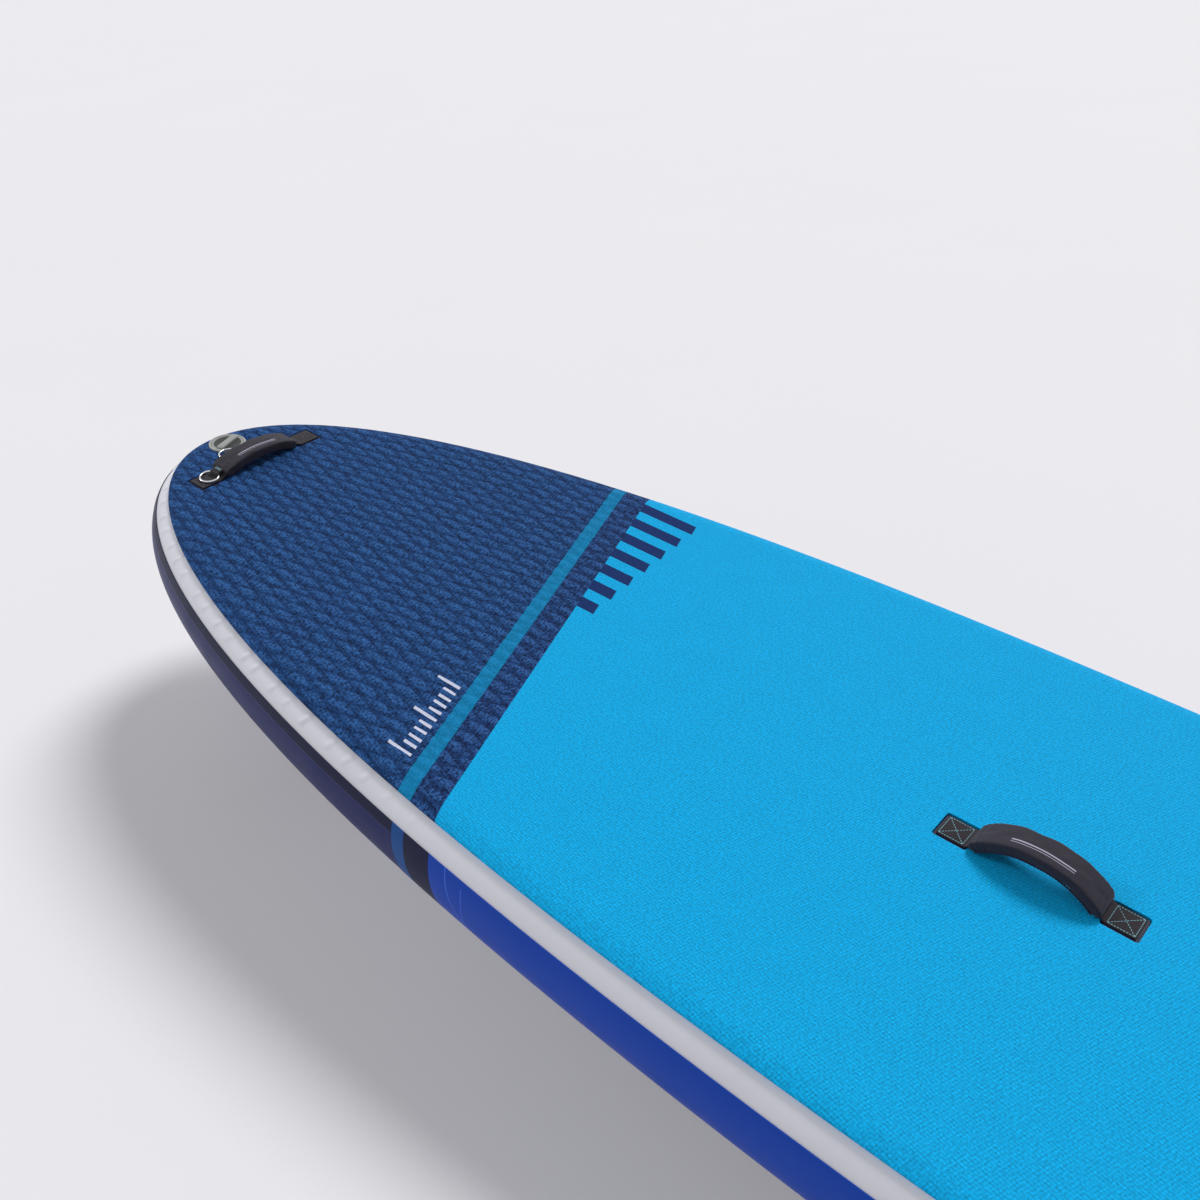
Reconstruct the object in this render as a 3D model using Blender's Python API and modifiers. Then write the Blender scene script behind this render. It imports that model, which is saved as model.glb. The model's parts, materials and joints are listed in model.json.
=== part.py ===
"""Inflatable stand-up paddleboard, built as the real one is assembled.

The frame: +X runs to the nose, +Y to the board's left, +Z up. The origin is on the flat
bottom, midway along the board. Metres throughout. The hull is two drop-stitch skins, joined
round the rail by an inner tape and an outer band. The deck pads, the air valve, the handles,
the lashing rings and the fins are seated on it.
"""

import math

import bmesh
import bpy
from mathutils import Matrix, Vector

# Board
BOARD_LENGTH = 3.251
BOARD_WIDTH = 0.864
HULL_THICKNESS = 0.120
SKIN = 0.0016
BAND_THICKNESS = 0.0012
GAP = 0.0003
WIDE_POINT = 0.131
TAIL_SHOULDER = 2.635
TAIL_ROUNDNESS = 2.074
NOSE_SHOULDER = 2.30
NOSE_ROUNDNESS = 2.00
NOSE_LIFT = 0.160
LIFT_START = 0.450
TAIL_STEPS = 13
NOSE_STEPS = 11
TAIL_JOIN_AHEAD = 0.045
NOSE_JOIN_AHEAD = 0.100

# Deck pads
EDGE_MARGIN = 0.030
PAD_THICKNESS = 0.0045
PAD_SLANT = math.radians(19.6)
STRIPE_START = 0.7183
STRIPE_WIDTH = 0.0226
BAND_WIDTH = 0.0387
PAD_FRONT = 0.880
PAD_FRONT_RADIUS = 0.620

# Rail angles, from the top of the rail at 0 degrees to its bottom at 180
BAND_TOP_ANGLE = math.radians(53)

# Drop-stitch core
SHEET = 0.0008
THREAD_RADIUS = 0.0012
THREAD_ROWS = 10
THREAD_COLUMNS = 6
CORE_TAIL = 0.095
CORE_NOSE = 0.110

# Valve body, gasket and nut
VALVE_FROM_PAD_TIP = 0.0423
FLANGE_RADIUS = 0.030
FLANGE_HEIGHT = 0.0044
FLANGE_FLOOR = 0.0016
FLANGE_EDGE = 0.0010
RIM_CLEARANCE = 0.0008
MOUTH_RADIUS = 0.0150
BARREL_RADIUS = 0.0185
BARREL_DEPTH = 0.034
SEAT_RADIUS = 0.0115
SHELF = 0.0040
GASKET = 0.0010
GASKET_INSET = 0.0010
NUT_RADIUS = 0.0250
NUT_HEIGHT = 0.0090
NUT_LIP = 0.0030
NUT_TAPER = 0.0020
NUT_NOTCHES = 6
NOTCH_RADIUS = 0.0022

# Valve stem, its guide, spring and seal
STEM_RADIUS = 0.0028
STEM_STROKE = 0.005
BUTTON_RADIUS = 0.0058
BUTTON_HEIGHT = 0.0025
DISC_LAP = 0.0030
DISC_THICKNESS = 0.0022
SEAT_SEAL = 0.0009
SEAT_SEAL_INSET = 0.0006
HUB_WALL = 0.0022
HUB_HEIGHT = 0.0067
GUIDE_RIM = 0.0016
GUIDE_HEIGHT = 0.0040
SPOKES = 3
SPOKE_WIDTH = 0.0022
SPRING_WIRE = 0.0005
SPRING_RADIUS = 0.0042
SPRING_TURNS = 5
SPRING_SLACK = 0.0015
POINTS_PER_TURN = 9

# Valve cap and its seal
CAP_RADIUS = 0.0258
CAP_THICKNESS = 0.0021
CAP_EDGE = 0.0006
CAP_CLEARANCE = 0.0004
CAP_BAR_END = 0.0020
CAP_BAR_WIDTH = 0.0105
CAP_BAR_HEIGHT = 0.0031
CAP_BAR_ANGLE = math.radians(110)
CAP_ROOF = 0.0017
PLUG_CLEARANCE = 0.0005
PLUG_WALL = 0.0024
PLUG_DEPTH = 0.0065
GROOVE_DEPTH = 0.0011
GROOVE_DOWN = 0.0030
GROOVE_HALF = 0.0010

# Handles
PATCH_SPACING = 0.194
PATCH_SIDE = 0.041
PATCH_THICKNESS = 0.0025
PATCH_CORNER = 0.0030
POCKET_CLEARANCE = 0.0010
POCKET_CORNER = 0.0040
WEBBING_WIDTH = 0.034
WEBBING = 0.0022
GRIP_WIDTH = 0.041
GRIP_THICKNESS = 0.0130
GRIP_ROUNDING = 0.0055
GRIP_END_DROP = 0.22
TAIL_HANDLE_FROM_PAD_TIP = 0.1176
CENTRE_HANDLE_FROM_PAD_TIP = 1.4598
NOSE_HANDLE_FROM_NOSE = 0.190
LOW_ARCH = 0.020
HIGH_ARCH = 0.034
ARCH_POWER = 2.4
ARCH_INSET = 0.0025
LOW_GRIP_HALF = 0.064
HIGH_GRIP_HALF = 0.069
ARCH_STEPS = 12
GRIP_STEPS = 10

# Rings and their loops
WIRE_RADIUS = 0.0016
RING_RADIUS = 0.0155
RING_BAR_OFFSET = 0.0095
RING_CORNER = 0.0040
RING_BOW = math.radians(105)
RING_BOW_STEPS = 9
LOOP_WIDTH = 0.018
LOOP_WEB = 0.0012
LOOP_CLEARANCE = 0.0004
LOOP_MOUTH = math.radians(70)
LOOP_STEPS = 8
TAIL_LOOP_LENGTH = 0.0105
TAIL_RING_RAISE = 0.0010
LEASH_FROM_PAD_TIP = 0.089
LEASH_ASIDE = 0.024
LEASH_PATCH_LENGTH = 0.026
LEASH_PATCH_WIDTH = 0.024
LEASH_PATCH_BEHIND = 0.018
LEASH_LOOP_LENGTH = 0.028
LASH_PATCH_RADIUS = 0.028
LASH_PATCH_THICKNESS = 0.0020
LASH_LOOP_LENGTH = 0.020
REAR_LASH_FROM_NOSE = 0.5355
REAR_LASH_INSET = 0.059
FRONT_LASH_FROM_NOSE = 0.2855
FRONT_LASH_INSET = 0.108

# Fin box in its mound
FIN_BOX_X = -1.265
MOUND_LENGTH = 0.330
MOUND_WIDTH = 0.090
MOUND_HEIGHT = 0.028
MOUND_SLOPE = 0.019
MOUND_FLOOR = 0.0020
MOUND_SQUARENESS = 3.2
BOX_LENGTH = 0.273
BOX_WIDTH = 0.026
BOX_CORNER = 0.010
BOX_ROOF = 0.0025
SLOT_LENGTH = 0.255
SLOT_WIDTH = 0.0098
SLOT_CORNER = 0.0040
TRACK_WIDTH = 0.0180
TRACK_HEIGHT = 0.0056
TRACK_DEPTH = 0.0130
TRACK_END = 0.0020
ENTRY_LENGTH = 0.0108

# Centre fin, its pin, plate and thumb screw
FIN_DEPTH = 0.200
FIN_CHORD = 0.155
FIN_FRONT = 0.047
FIN_RAKE = 0.140
FIN_THICKNESS = 0.0086
FIN_TIP_SHARE = 0.16
TAB_LENGTH = 0.120
TAB_MIDDLE = -0.010
TAB_CLEARANCE = 0.0007
TAB_ROOT = 0.0030
FOOT_LENGTH = 0.040
FOOT_MIDDLE = 0.055
PIN_RADIUS = 0.0024
PIN_OFFSET = -0.060
PLATE_LENGTH = 0.014
PLATE_CORNER = 0.0010
TRACK_CLEARANCE = 0.0008
SCREW_OFFSET = 0.063
SCREW_RADIUS = 0.0020
SCREW_HEAD_RADIUS = 0.0078
SCREW_HEAD_HEIGHT = 0.0085
SCREW_HEAD_CHAMFER = 0.0016
SCREW_TIP = 0.0006
FLUTES = 6
FLUTE_RADIUS = 0.0013

# Side fins
SIDE_FIN_X = -1.130
SIDE_FIN_Y = 0.190
SIDE_FIN_DEPTH = 0.105
SIDE_FIN_CHORD = 0.120
SIDE_FIN_THICKNESS = 0.0075
SIDE_FIN_RAKE = 0.085
SIDE_FIN_TOE = math.radians(2.5)
SIDE_FIN_TIP_SHARE = 0.18
SIDE_FOOT_LENGTH = 0.142
SIDE_FOOT_WIDTH = 0.032
SIDE_FOOT_THICKNESS = 0.0036
SIDE_FOOT_CORNER = 0.012
SIDE_PATCH_LENGTH = 0.170
SIDE_PATCH_WIDTH = 0.058
SIDE_PATCH_CORNER = 0.018

# Foil of every fin
FOIL_POINTS = 12
FOIL_SECTIONS = 7
FOIL_FULLNESS = 0.25
OUTLINE_POWER = 2.2
OUTLINE_ROUNDING = 0.6
SWEEP_POWER = 1.35
TIP_THINNING = 0.62

# Worked out from the sizes above
RAIL_RADIUS = HULL_THICKNESS / 2
PAD_HALF = BOARD_WIDTH / 2 - EDGE_MARGIN
RAIL_INSET = RAIL_RADIUS + GAP + BAND_THICKNESS - EDGE_MARGIN
PAD_TIP_X = EDGE_MARGIN - BOARD_LENGTH / 2
PAD_NOSE_X = BOARD_LENGTH / 2 - EDGE_MARGIN
DECK = HULL_THICKNESS
PAD_TOP = DECK + GAP + PAD_THICKNESS
PAD_EDGE_ANGLE = math.asin(RAIL_INSET / (RAIL_RADIUS + GAP))
WEB_LEVEL = PATCH_THICKNESS + 2 * GAP + WEBBING / 2
ARCH_HALF = PATCH_SPACING / 2 - PATCH_SIDE / 2 + ARCH_INSET
VALVE_X = PAD_TIP_X + VALVE_FROM_PAD_TIP
TAIL_HANDLE_X = PAD_TIP_X + TAIL_HANDLE_FROM_PAD_TIP
CENTRE_HANDLE_X = PAD_TIP_X + CENTRE_HANDLE_FROM_PAD_TIP
NOSE_HANDLE_X = BOARD_LENGTH / 2 - NOSE_HANDLE_FROM_NOSE
LEASH_BAR_X = PAD_TIP_X + LEASH_FROM_PAD_TIP
LEASH_PATCH_X = LEASH_BAR_X + LEASH_PATCH_BEHIND
TAIL_JOIN_X = TAIL_HANDLE_X + TAIL_JOIN_AHEAD
NOSE_JOIN_X = PAD_FRONT + NOSE_JOIN_AHEAD
CUTTER_REACH = 2 * (HULL_THICKNESS + NOSE_LIFT)

# Valve heights, from the deck
FLANGE_LOW = GASKET + 2 * GAP
FLANGE_TOP = FLANGE_LOW + FLANGE_HEIGHT
RECESS_FLOOR = FLANGE_LOW + FLANGE_FLOOR
SHELF_TOP = SHELF - BARREL_DEPTH
GUIDE_LOW = SHELF_TOP + GAP
HUB_TOP = GUIDE_LOW + HUB_HEIGHT
SPRING_HEIGHT = SPRING_TURNS * 2 * SPRING_WIRE + STEM_STROKE + SPRING_SLACK
BUTTON_LOW = HUB_TOP + 2 * GAP + SPRING_HEIGHT
DISC_TOP = -BARREL_DEPTH - SEAT_SEAL - 2 * GAP
DISC_RADIUS = SEAT_RADIUS + DISC_LAP
PLUG_RADIUS = MOUTH_RADIUS - PLUG_CLEARANCE

# Fin heights, from the hull's bottom
BOX_TOP = -MOUND_FLOOR - 2 * GAP
SLOT_TOP = BOX_TOP - BOX_ROOF
TRACK_MIDDLE = -TRACK_DEPTH - TRACK_HEIGHT / 2
FIN_ROOT = -MOUND_HEIGHT - GAP
SCREW_X = FIN_BOX_X + SCREW_OFFSET
PIN_X = FIN_BOX_X + PIN_OFFSET

# Shared rail angles, so that the layers nest
RAIL_ANGLES = [0.0, PAD_EDGE_ANGLE / 2, PAD_EDGE_ANGLE]
RAIL_ANGLES += [(PAD_EDGE_ANGLE + BAND_TOP_ANGLE) / 2, BAND_TOP_ANGLE]
RAIL_ANGLES += [(BAND_TOP_ANGLE + math.pi / 2) / 2]

# Looks: colour and roughness
WHITE_PVC = ((0.78, 0.79, 0.82), 0.45)
NAVY_PVC = ((0.020, 0.035, 0.080), 0.45)
NAVY_FOAM = ((0.016, 0.050, 0.110), 0.75)
TEAL_FOAM = ((0.0, 0.185, 0.330), 0.70)
DARK_FOAM = ((0.012, 0.040, 0.085), 0.75)
CYAN_FOAM = ((0.0, 0.400, 0.640), 0.65)
CLOTH = ((0.62, 0.62, 0.58), 0.90)
GREY_PLASTIC = ((0.300, 0.310, 0.300), 0.45)
DARK_PLASTIC = ((0.110, 0.115, 0.110), 0.50)
RUBBER = ((0.020, 0.020, 0.022), 0.70)
STEEL = ((0.72, 0.72, 0.74), 0.20)
BLACK_WEB = ((0.018, 0.018, 0.026), 0.85)
GRIP_CLOTH = ((0.022, 0.022, 0.032), 0.80)
BLACK_PLASTIC = ((0.015, 0.015, 0.017), 0.40)

for leftover in list(bpy.data.objects):
    bpy.data.objects.remove(leftover, do_unlink=True)

parts = bpy.data.collections.new("stand_up_paddleboard")
cutters = bpy.data.collections.new("cutters")
bpy.context.scene.collection.children.link(parts)
bpy.context.scene.collection.children.link(cutters)


def material(name, colour, roughness, metallic):
    """A Principled material."""
    made = bpy.data.materials.new(name)
    made.use_nodes = True
    shader = made.node_tree.nodes["Principled BSDF"]
    shader.inputs["Base Color"].default_value = (*colour, 1.0)
    shader.inputs["Roughness"].default_value = roughness
    shader.inputs["Metallic"].default_value = metallic
    return made


def finish(obj, look, metallic=0.0):
    """Give an object its own material and the parts' collection, and shade it by angle."""
    colour, roughness = look
    obj.data.materials.clear()
    obj.data.materials.append(material(obj.name, colour, roughness, metallic))
    for holder in list(obj.users_collection):
        holder.objects.unlink(obj)
    parts.objects.link(obj)
    obj.data.shade_smooth()
    obj.data.set_sharp_from_angle(angle=math.radians(35))
    return obj


def from_bmesh(name, bm):
    """An object, in no collection yet, from a bmesh."""
    mesh = bpy.data.meshes.new(name)
    bm.to_mesh(mesh)
    bm.free()
    return bpy.data.objects.new(name, mesh)


def closed(bm):
    """Turn a closed bmesh's faces outward."""
    bmesh.ops.recalc_face_normals(bm, faces=bm.faces[:])
    return bm


def as_cutter(obj):
    """Move an object to the cutters, unseen."""
    for holder in list(obj.users_collection):
        holder.objects.unlink(obj)
    cutters.objects.link(obj)
    obj.hide_render = True
    obj.display_type = "WIRE"
    return obj


def boolean(obj, other, operation):
    """Add an exact Boolean modifier."""
    step = obj.modifiers.new(operation.title(), "BOOLEAN")
    step.solver = "EXACT"
    step.operation = operation
    step.object = as_cutter(other)
    return obj


def solidify(obj, thickness):
    """Give a sheet an even thickness, half on each side."""
    shell = obj.modifiers.new("Thickness", "SOLIDIFY")
    shell.thickness = thickness
    shell.offset = 0.0
    shell.use_even_offset = True
    return obj


def turned(name, profile, segments=32):
    """Revolve a closed loop of (radius, height) points about Z."""
    mesh = bpy.data.meshes.new(name)
    points = [(radius, 0.0, height) for radius, height in profile]
    links = [(index, index + 1) for index in range(len(points) - 1)]
    if min(radius for radius, height in profile) > 0:
        links.append((len(points) - 1, 0))
    mesh.from_pydata(points, links, [])
    obj = bpy.data.objects.new(name, mesh)
    turn = obj.modifiers.new("Turn", "SCREW")
    turn.axis = "Z"
    turn.angle = 2 * math.pi
    turn.steps = segments
    turn.render_steps = segments
    turn.use_merge_vertices = True
    turn.merge_threshold = 0.00005
    return obj


def box(name, size, centre, round_edges=0.0):
    """A box primitive with its scale applied and its upright edges rounded."""
    bm = bmesh.new()
    bmesh.ops.create_cube(bm, size=1.0)
    bmesh.ops.scale(bm, vec=Vector(size), verts=bm.verts[:])
    if round_edges:
        upright = [edge for edge in bm.edges
                   if abs(edge.verts[0].co.z - edge.verts[1].co.z) > size[2] / 2]
        bmesh.ops.bevel(bm, geom=upright, offset=round_edges, segments=2,
                        profile=0.5, affect="EDGES")
    bmesh.ops.translate(bm, vec=Vector(centre), verts=bm.verts[:])
    return from_bmesh(name, closed(bm))


def cylinder(name, radius, low, high, segments=32):
    """A capped cylinder about Z, from one height to another."""
    bm = bmesh.new()
    bmesh.ops.create_cone(bm, cap_ends=True, segments=segments, radius1=radius,
                          radius2=radius, depth=high - low)
    bmesh.ops.translate(bm, vec=Vector((0, 0, (low + high) / 2)), verts=bm.verts[:])
    return from_bmesh(name, closed(bm))


def loft(name, rings):
    """A closed body through rings that have the same number of points."""
    bm = bmesh.new()
    loops = [[bm.verts.new(point) for point in ring] for ring in rings]
    for near, far in zip(loops, loops[1:]):
        bridge(bm, near, far)
    bm.faces.new(loops[0])
    bm.faces.new(loops[-1])
    return from_bmesh(name, closed(bm))


def bridge(bm, near, far):
    """Join two loops of the same length with quads."""
    count = len(near)
    for index in range(count):
        after = (index + 1) % count
        bm.faces.new((near[index], near[after], far[after], far[index]))


def tube(name, points, radius, cyclic=False, resolution=2):
    """A round wire along a list of points, turned into a welded mesh."""
    data = bpy.data.curves.new(name, "CURVE")
    data.dimensions = "3D"
    data.bevel_depth = radius
    data.bevel_resolution = resolution
    data.use_fill_caps = True
    line = data.splines.new("POLY")
    line.points.add(len(points) - 1)
    for point, place in zip(line.points, points):
        point.co = (*place, 1.0)
    line.use_cyclic_u = cyclic
    curve = bpy.data.objects.new(name + "_path", data)
    bpy.context.scene.collection.objects.link(curve)
    bpy.context.view_layer.update()
    graph = bpy.context.evaluated_depsgraph_get()
    mesh = bpy.data.meshes.new_from_object(curve.evaluated_get(graph))
    bpy.data.objects.remove(curve, do_unlink=True)
    bm = bmesh.new()
    bm.from_mesh(mesh)
    bmesh.ops.remove_doubles(bm, verts=bm.verts[:], dist=0.00001)
    bpy.data.meshes.remove(mesh)
    return from_bmesh(name, closed(bm))


def least_gap(points, radius, steps_apart):
    """The least gap of a wire to itself, between points at least so many steps apart."""
    places = [Vector(point) for point in points]
    gaps = []
    for index, near in enumerate(places):
        gaps += [(far - near).length - 2 * radius for far in places[index + steps_apart:]]
    return min(gaps)


def ribbon(name, path, width, thickness):
    """A flat strap: path is (along, up) points, and the width lies across them."""
    bm = bmesh.new()
    rows = []
    for along, up in path:
        rows.append([bm.verts.new((along, side * width / 2, up)) for side in (1, -1)])
    for near, far in zip(rows, rows[1:]):
        bm.faces.new((near[0], near[1], far[1], far[0]))
    return solidify(from_bmesh(name, bm), thickness)


def rocker(x):
    """How far the hull is lifted at x."""
    run = max(0.0, x - LIFT_START) / (BOARD_LENGTH / 2 - LIFT_START)
    return NOSE_LIFT * run * run


def facet(x):
    """The ends of the flat strip of skin that holds x."""
    edges = [px + normal.x * -RAIL_INSET for px, py, normal in STATIONS]
    for near, far in zip(edges, edges[1:]):
        if near <= x <= far:
            return near, far
    return edges[-2], edges[-1]


def lift(x):
    """How far the faceted skin is lifted at x, and its slope there."""
    near, far = facet(x)
    slope = (rocker(far) - rocker(near)) / (far - near)
    return rocker(near) + slope * (x - near), slope


def flat_spot(x):
    """The middle of the strip of skin at x, so that a patch there lies on one flat strip."""
    return sum(facet(x)) / 2


def deck_frame(x, y, turn=0.0):
    """A matrix whose origin is on the deck at x, y, tilted with it and turned about its normal."""
    up, slope = lift(x)
    place = Matrix.Translation((x, y, up + DECK))
    return place @ Matrix.Rotation(-math.atan(slope), 4, "Y") @ Matrix.Rotation(turn, 4, "Z")


def outline():
    """Half of the pad's outline: (x, half width, outward normal) from tail tip to nose tip."""
    tail_run = WIDE_POINT - PAD_TIP_X
    nose_run = PAD_NOSE_X - WIDE_POINT

    def tail(angle):
        width = (1 - math.cos(angle) ** TAIL_SHOULDER) ** (1 / TAIL_ROUNDNESS)
        return Vector((WIDE_POINT - tail_run * math.cos(angle), PAD_HALF * width))

    def nose(angle):
        width = (1 - math.cos(angle) ** NOSE_SHOULDER) ** (1 / NOSE_ROUNDNESS)
        return Vector((WIDE_POINT + nose_run * math.cos(angle), PAD_HALF * width))

    stations = [(PAD_TIP_X, 0.0, Vector((-1.0, 0.0)))]
    nudge = 0.001
    right_angle = math.pi / 2
    for step in range(1, TAIL_STEPS):
        angle = right_angle * step / TAIL_STEPS
        run = tail(angle + nudge) - tail(angle - nudge)
        place = tail(angle)
        stations.append((place.x, place.y, Vector((-run.y, run.x)).normalized()))
    stations.append((WIDE_POINT, PAD_HALF, Vector((0.0, 1.0))))
    for step in range(1, NOSE_STEPS):
        angle = right_angle * (1 - step / NOSE_STEPS)
        run = nose(angle - nudge) - nose(angle + nudge)
        place = nose(angle)
        stations.append((place.x, place.y, Vector((-run.y, run.x)).normalized()))
    stations.append((PAD_NOSE_X, 0.0, Vector((1.0, 0.0))))
    return stations


STATIONS = outline()


def half_width_at(x, reach):
    """The outline's half width at x, moved out by reach, read between the stations."""
    places = [(Vector((px, py)) + normal * reach) for px, py, normal in STATIONS]
    for near, far in zip(places, places[1:]):
        if near.x <= x <= far.x:
            share = (x - near.x) / (far.x - near.x)
            return near.y + (far.y - near.y) * share
    return 0.0


def level_loop(bm, reach, height):
    """A closed loop of vertices that follows the outline, moved out by reach."""
    left = []
    for x, y, normal in STATIONS:
        place = Vector((x, y)) + normal * reach
        left.append((place.x, place.y, height + rocker(place.x)))
    right = [(x, -y, z) for x, y, z in left[-2:0:-1]]
    return [bm.verts.new(point) for point in left + right]


def rail_loop(bm, radius, angle):
    """The loop at one angle round the rail."""
    reach = radius * math.sin(angle) - RAIL_INSET
    return level_loop(bm, reach, RAIL_RADIUS + radius * math.cos(angle))


def cross_strips(bm, loop):
    """Fill a loop with strips from side to side."""
    half = len(loop) // 2
    bm.faces.new((loop[0], loop[1], loop[-1]))
    for step in range(1, half - 1):
        bm.faces.new((loop[step], loop[step + 1], loop[-step - 1], loop[-step]))
    bm.faces.new((loop[half - 1], loop[half], loop[half + 1]))


def skin_panel(radius, angles, thickness, filled):
    """A shell round the rail through some angles, closed across the middle if filled."""
    bm = bmesh.new()
    outer = [rail_loop(bm, radius, angle) for angle in angles]
    inner = [rail_loop(bm, radius - thickness, angle) for angle in angles]
    for layer in (outer, inner):
        for near, far in zip(layer, layer[1:]):
            bridge(bm, near, far)
    bridge(bm, outer[-1], inner[-1])
    if filled:
        cross_strips(bm, outer[0])
        cross_strips(bm, inner[0])
    else:
        bridge(bm, outer[0], inner[0])
    return closed(bm)


def deck_hole(name, radius):
    """A round cutter on the valve's axis, through the deck."""
    hole = cylinder(name, radius, -BARREL_DEPTH, BARREL_DEPTH)
    hole.location = (VALVE_X, 0, DECK)
    return hole


def make_deck_skin(angles):
    """The deck's skin in three panels, butted with a fine gap, the tail one with the valve's hole."""
    panels = (("deck_skin_tail", None, TAIL_JOIN_X),
              ("deck_skin", TAIL_JOIN_X, NOSE_JOIN_X),
              ("deck_skin_nose", NOSE_JOIN_X, None))
    for name, start, end in panels:
        bm = skin_panel(RAIL_RADIUS, angles, SKIN, True)
        if start is not None:
            trim(bm, Vector((start + GAP / 2, 0, 0)), Vector((-1, 0, 0)))
        if end is not None:
            trim(bm, Vector((end - GAP / 2, 0, 0)), Vector((1, 0, 0)))
        panel = from_bmesh(name, closed(bm))
        if start is None:
            hole = deck_hole("skin_valve_hole", BARREL_RADIUS + RIM_CLEARANCE)
            boolean(panel, hole, "DIFFERENCE")
        finish(panel, WHITE_PVC)


def make_hull():
    """The two skins, the tape inside the rail and the band outside it."""
    butt = math.pi / 2 - GAP / 2 / RAIL_RADIUS
    top = RAIL_ANGLES + [butt]
    bottom = [math.pi - angle for angle in top]
    make_deck_skin(top)
    finish(from_bmesh("bottom_skin", skin_panel(RAIL_RADIUS, bottom, SKIN, True)), WHITE_PVC)
    across = [angle for angle in RAIL_ANGLES if angle >= BAND_TOP_ANGLE]
    across += [math.pi / 2] + [math.pi - angle for angle in reversed(across)]
    tape_radius = RAIL_RADIUS - SKIN - GAP
    tape = skin_panel(tape_radius, across[::2], BAND_THICKNESS, False)
    finish(from_bmesh("inner_seam_tape", tape), CLOTH)
    band_radius = RAIL_RADIUS + GAP + BAND_THICKNESS
    band = skin_panel(band_radius, across, BAND_THICKNESS, False)
    finish(from_bmesh("rail_band", band), NAVY_PVC)


def trim(bm, point, outward):
    """Cut a closed bmesh by a plane, drop what lies outward and close the cut."""
    everything = bm.verts[:] + bm.edges[:] + bm.faces[:]
    cut = bmesh.ops.bisect_plane(bm, geom=everything, plane_co=point, plane_no=outward,
                                 dist=0.000001, clear_outer=True)
    rim = [item for item in cut["geom_cut"] if isinstance(item, bmesh.types.BMEdge)]
    bmesh.ops.edgeloop_fill(bm, edges=rim)


def sheet(name, outside):
    """A woven base sheet of the core: a filled outline with a thickness, trimmed fore and aft."""
    bm = bmesh.new()
    loops = [level_loop(bm, -RAIL_INSET, height) for height in (outside, outside - SHEET)]
    bridge(bm, loops[0], loops[1])
    for loop in loops:
        cross_strips(bm, loop)
    for x, direction in ((PAD_TIP_X + CORE_TAIL, -1), (PAD_NOSE_X - CORE_NOSE, 1)):
        trim(bm, Vector((x, 0, 0)), Vector((direction, 0, 0)))
    return from_bmesh(name, closed(bm))


def make_core():
    """Two woven sheets tied by drop threads: the threads keep the deck and bottom flat."""
    upper = DECK - SKIN - GAP
    lower = SKIN + GAP + SHEET
    core = sheet("drop_stitch_core", upper)
    threads = bmesh.new()
    first = PAD_TIP_X + CORE_TAIL
    run = PAD_NOSE_X - CORE_NOSE - first
    for row in range(THREAD_ROWS):
        x = first + run * (row + 0.5) / THREAD_ROWS
        half = half_width_at(x, -RAIL_INSET)
        for column in range(THREAD_COLUMNS):
            y = half * ((2 * column + 1) / THREAD_COLUMNS - 1)
            made = bmesh.ops.create_cone(threads, cap_ends=True, segments=4,
                                         radius1=THREAD_RADIUS, radius2=THREAD_RADIUS,
                                         depth=upper - lower)
            middle = (upper + lower - SHEET) / 2 + lift(x)[0]
            bmesh.ops.translate(threads, vec=Vector((x, y, middle)), verts=made["verts"])
    boolean(core, from_bmesh("drop_threads", threads), "UNION")
    boolean(core, sheet("lower_sheet", lower), "UNION")
    finish(core, CLOTH)


def pad_solid():
    """The whole deck pad before it is cut, with its edge rolled over the rail."""
    bm = bmesh.new()
    angles = [angle for angle in RAIL_ANGLES if angle <= PAD_EDGE_ANGLE]
    low = RAIL_RADIUS + GAP
    inner = [rail_loop(bm, low, angle) for angle in angles]
    outer = [rail_loop(bm, low + PAD_THICKNESS, angle) for angle in angles]
    for layer in (outer, inner):
        for near, far in zip(layer, layer[1:]):
            bridge(bm, near, far)
        cross_strips(bm, layer[0])
    bridge(bm, outer[-1], inner[-1])
    return closed(bm)


def slant_plane(from_tip):
    """A point and the noseward normal of a cut at this distance from the pad's tip."""
    normal = Vector((math.cos(PAD_SLANT), math.sin(PAD_SLANT), 0))
    return Vector((PAD_TIP_X + from_tip, 0, 0)), normal


def pocket(name, frame, length, width):
    """A rounded rectangular cutter that clears one patch."""
    size = (length + 2 * POCKET_CLEARANCE, width + 2 * POCKET_CLEARANCE, BARREL_DEPTH)
    cutter = box(name, size, (0, 0, 0), POCKET_CORNER)
    cutter.matrix_world = frame
    return cutter


def pad_front():
    """The space behind the main pad's round front edge."""
    centre = (PAD_FRONT - PAD_FRONT_RADIUS, 0, DECK)
    front = cylinder("pad_front", PAD_FRONT_RADIUS, -CUTTER_REACH, CUTTER_REACH, 72)
    back_size = (BOARD_LENGTH, 2 * BOARD_WIDTH, 2 * CUTTER_REACH)
    back = box("pad_back", back_size, (-BOARD_LENGTH / 2, 0, 0))
    front.location = centre
    back.location = centre
    return boolean(front, back, "UNION")


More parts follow.
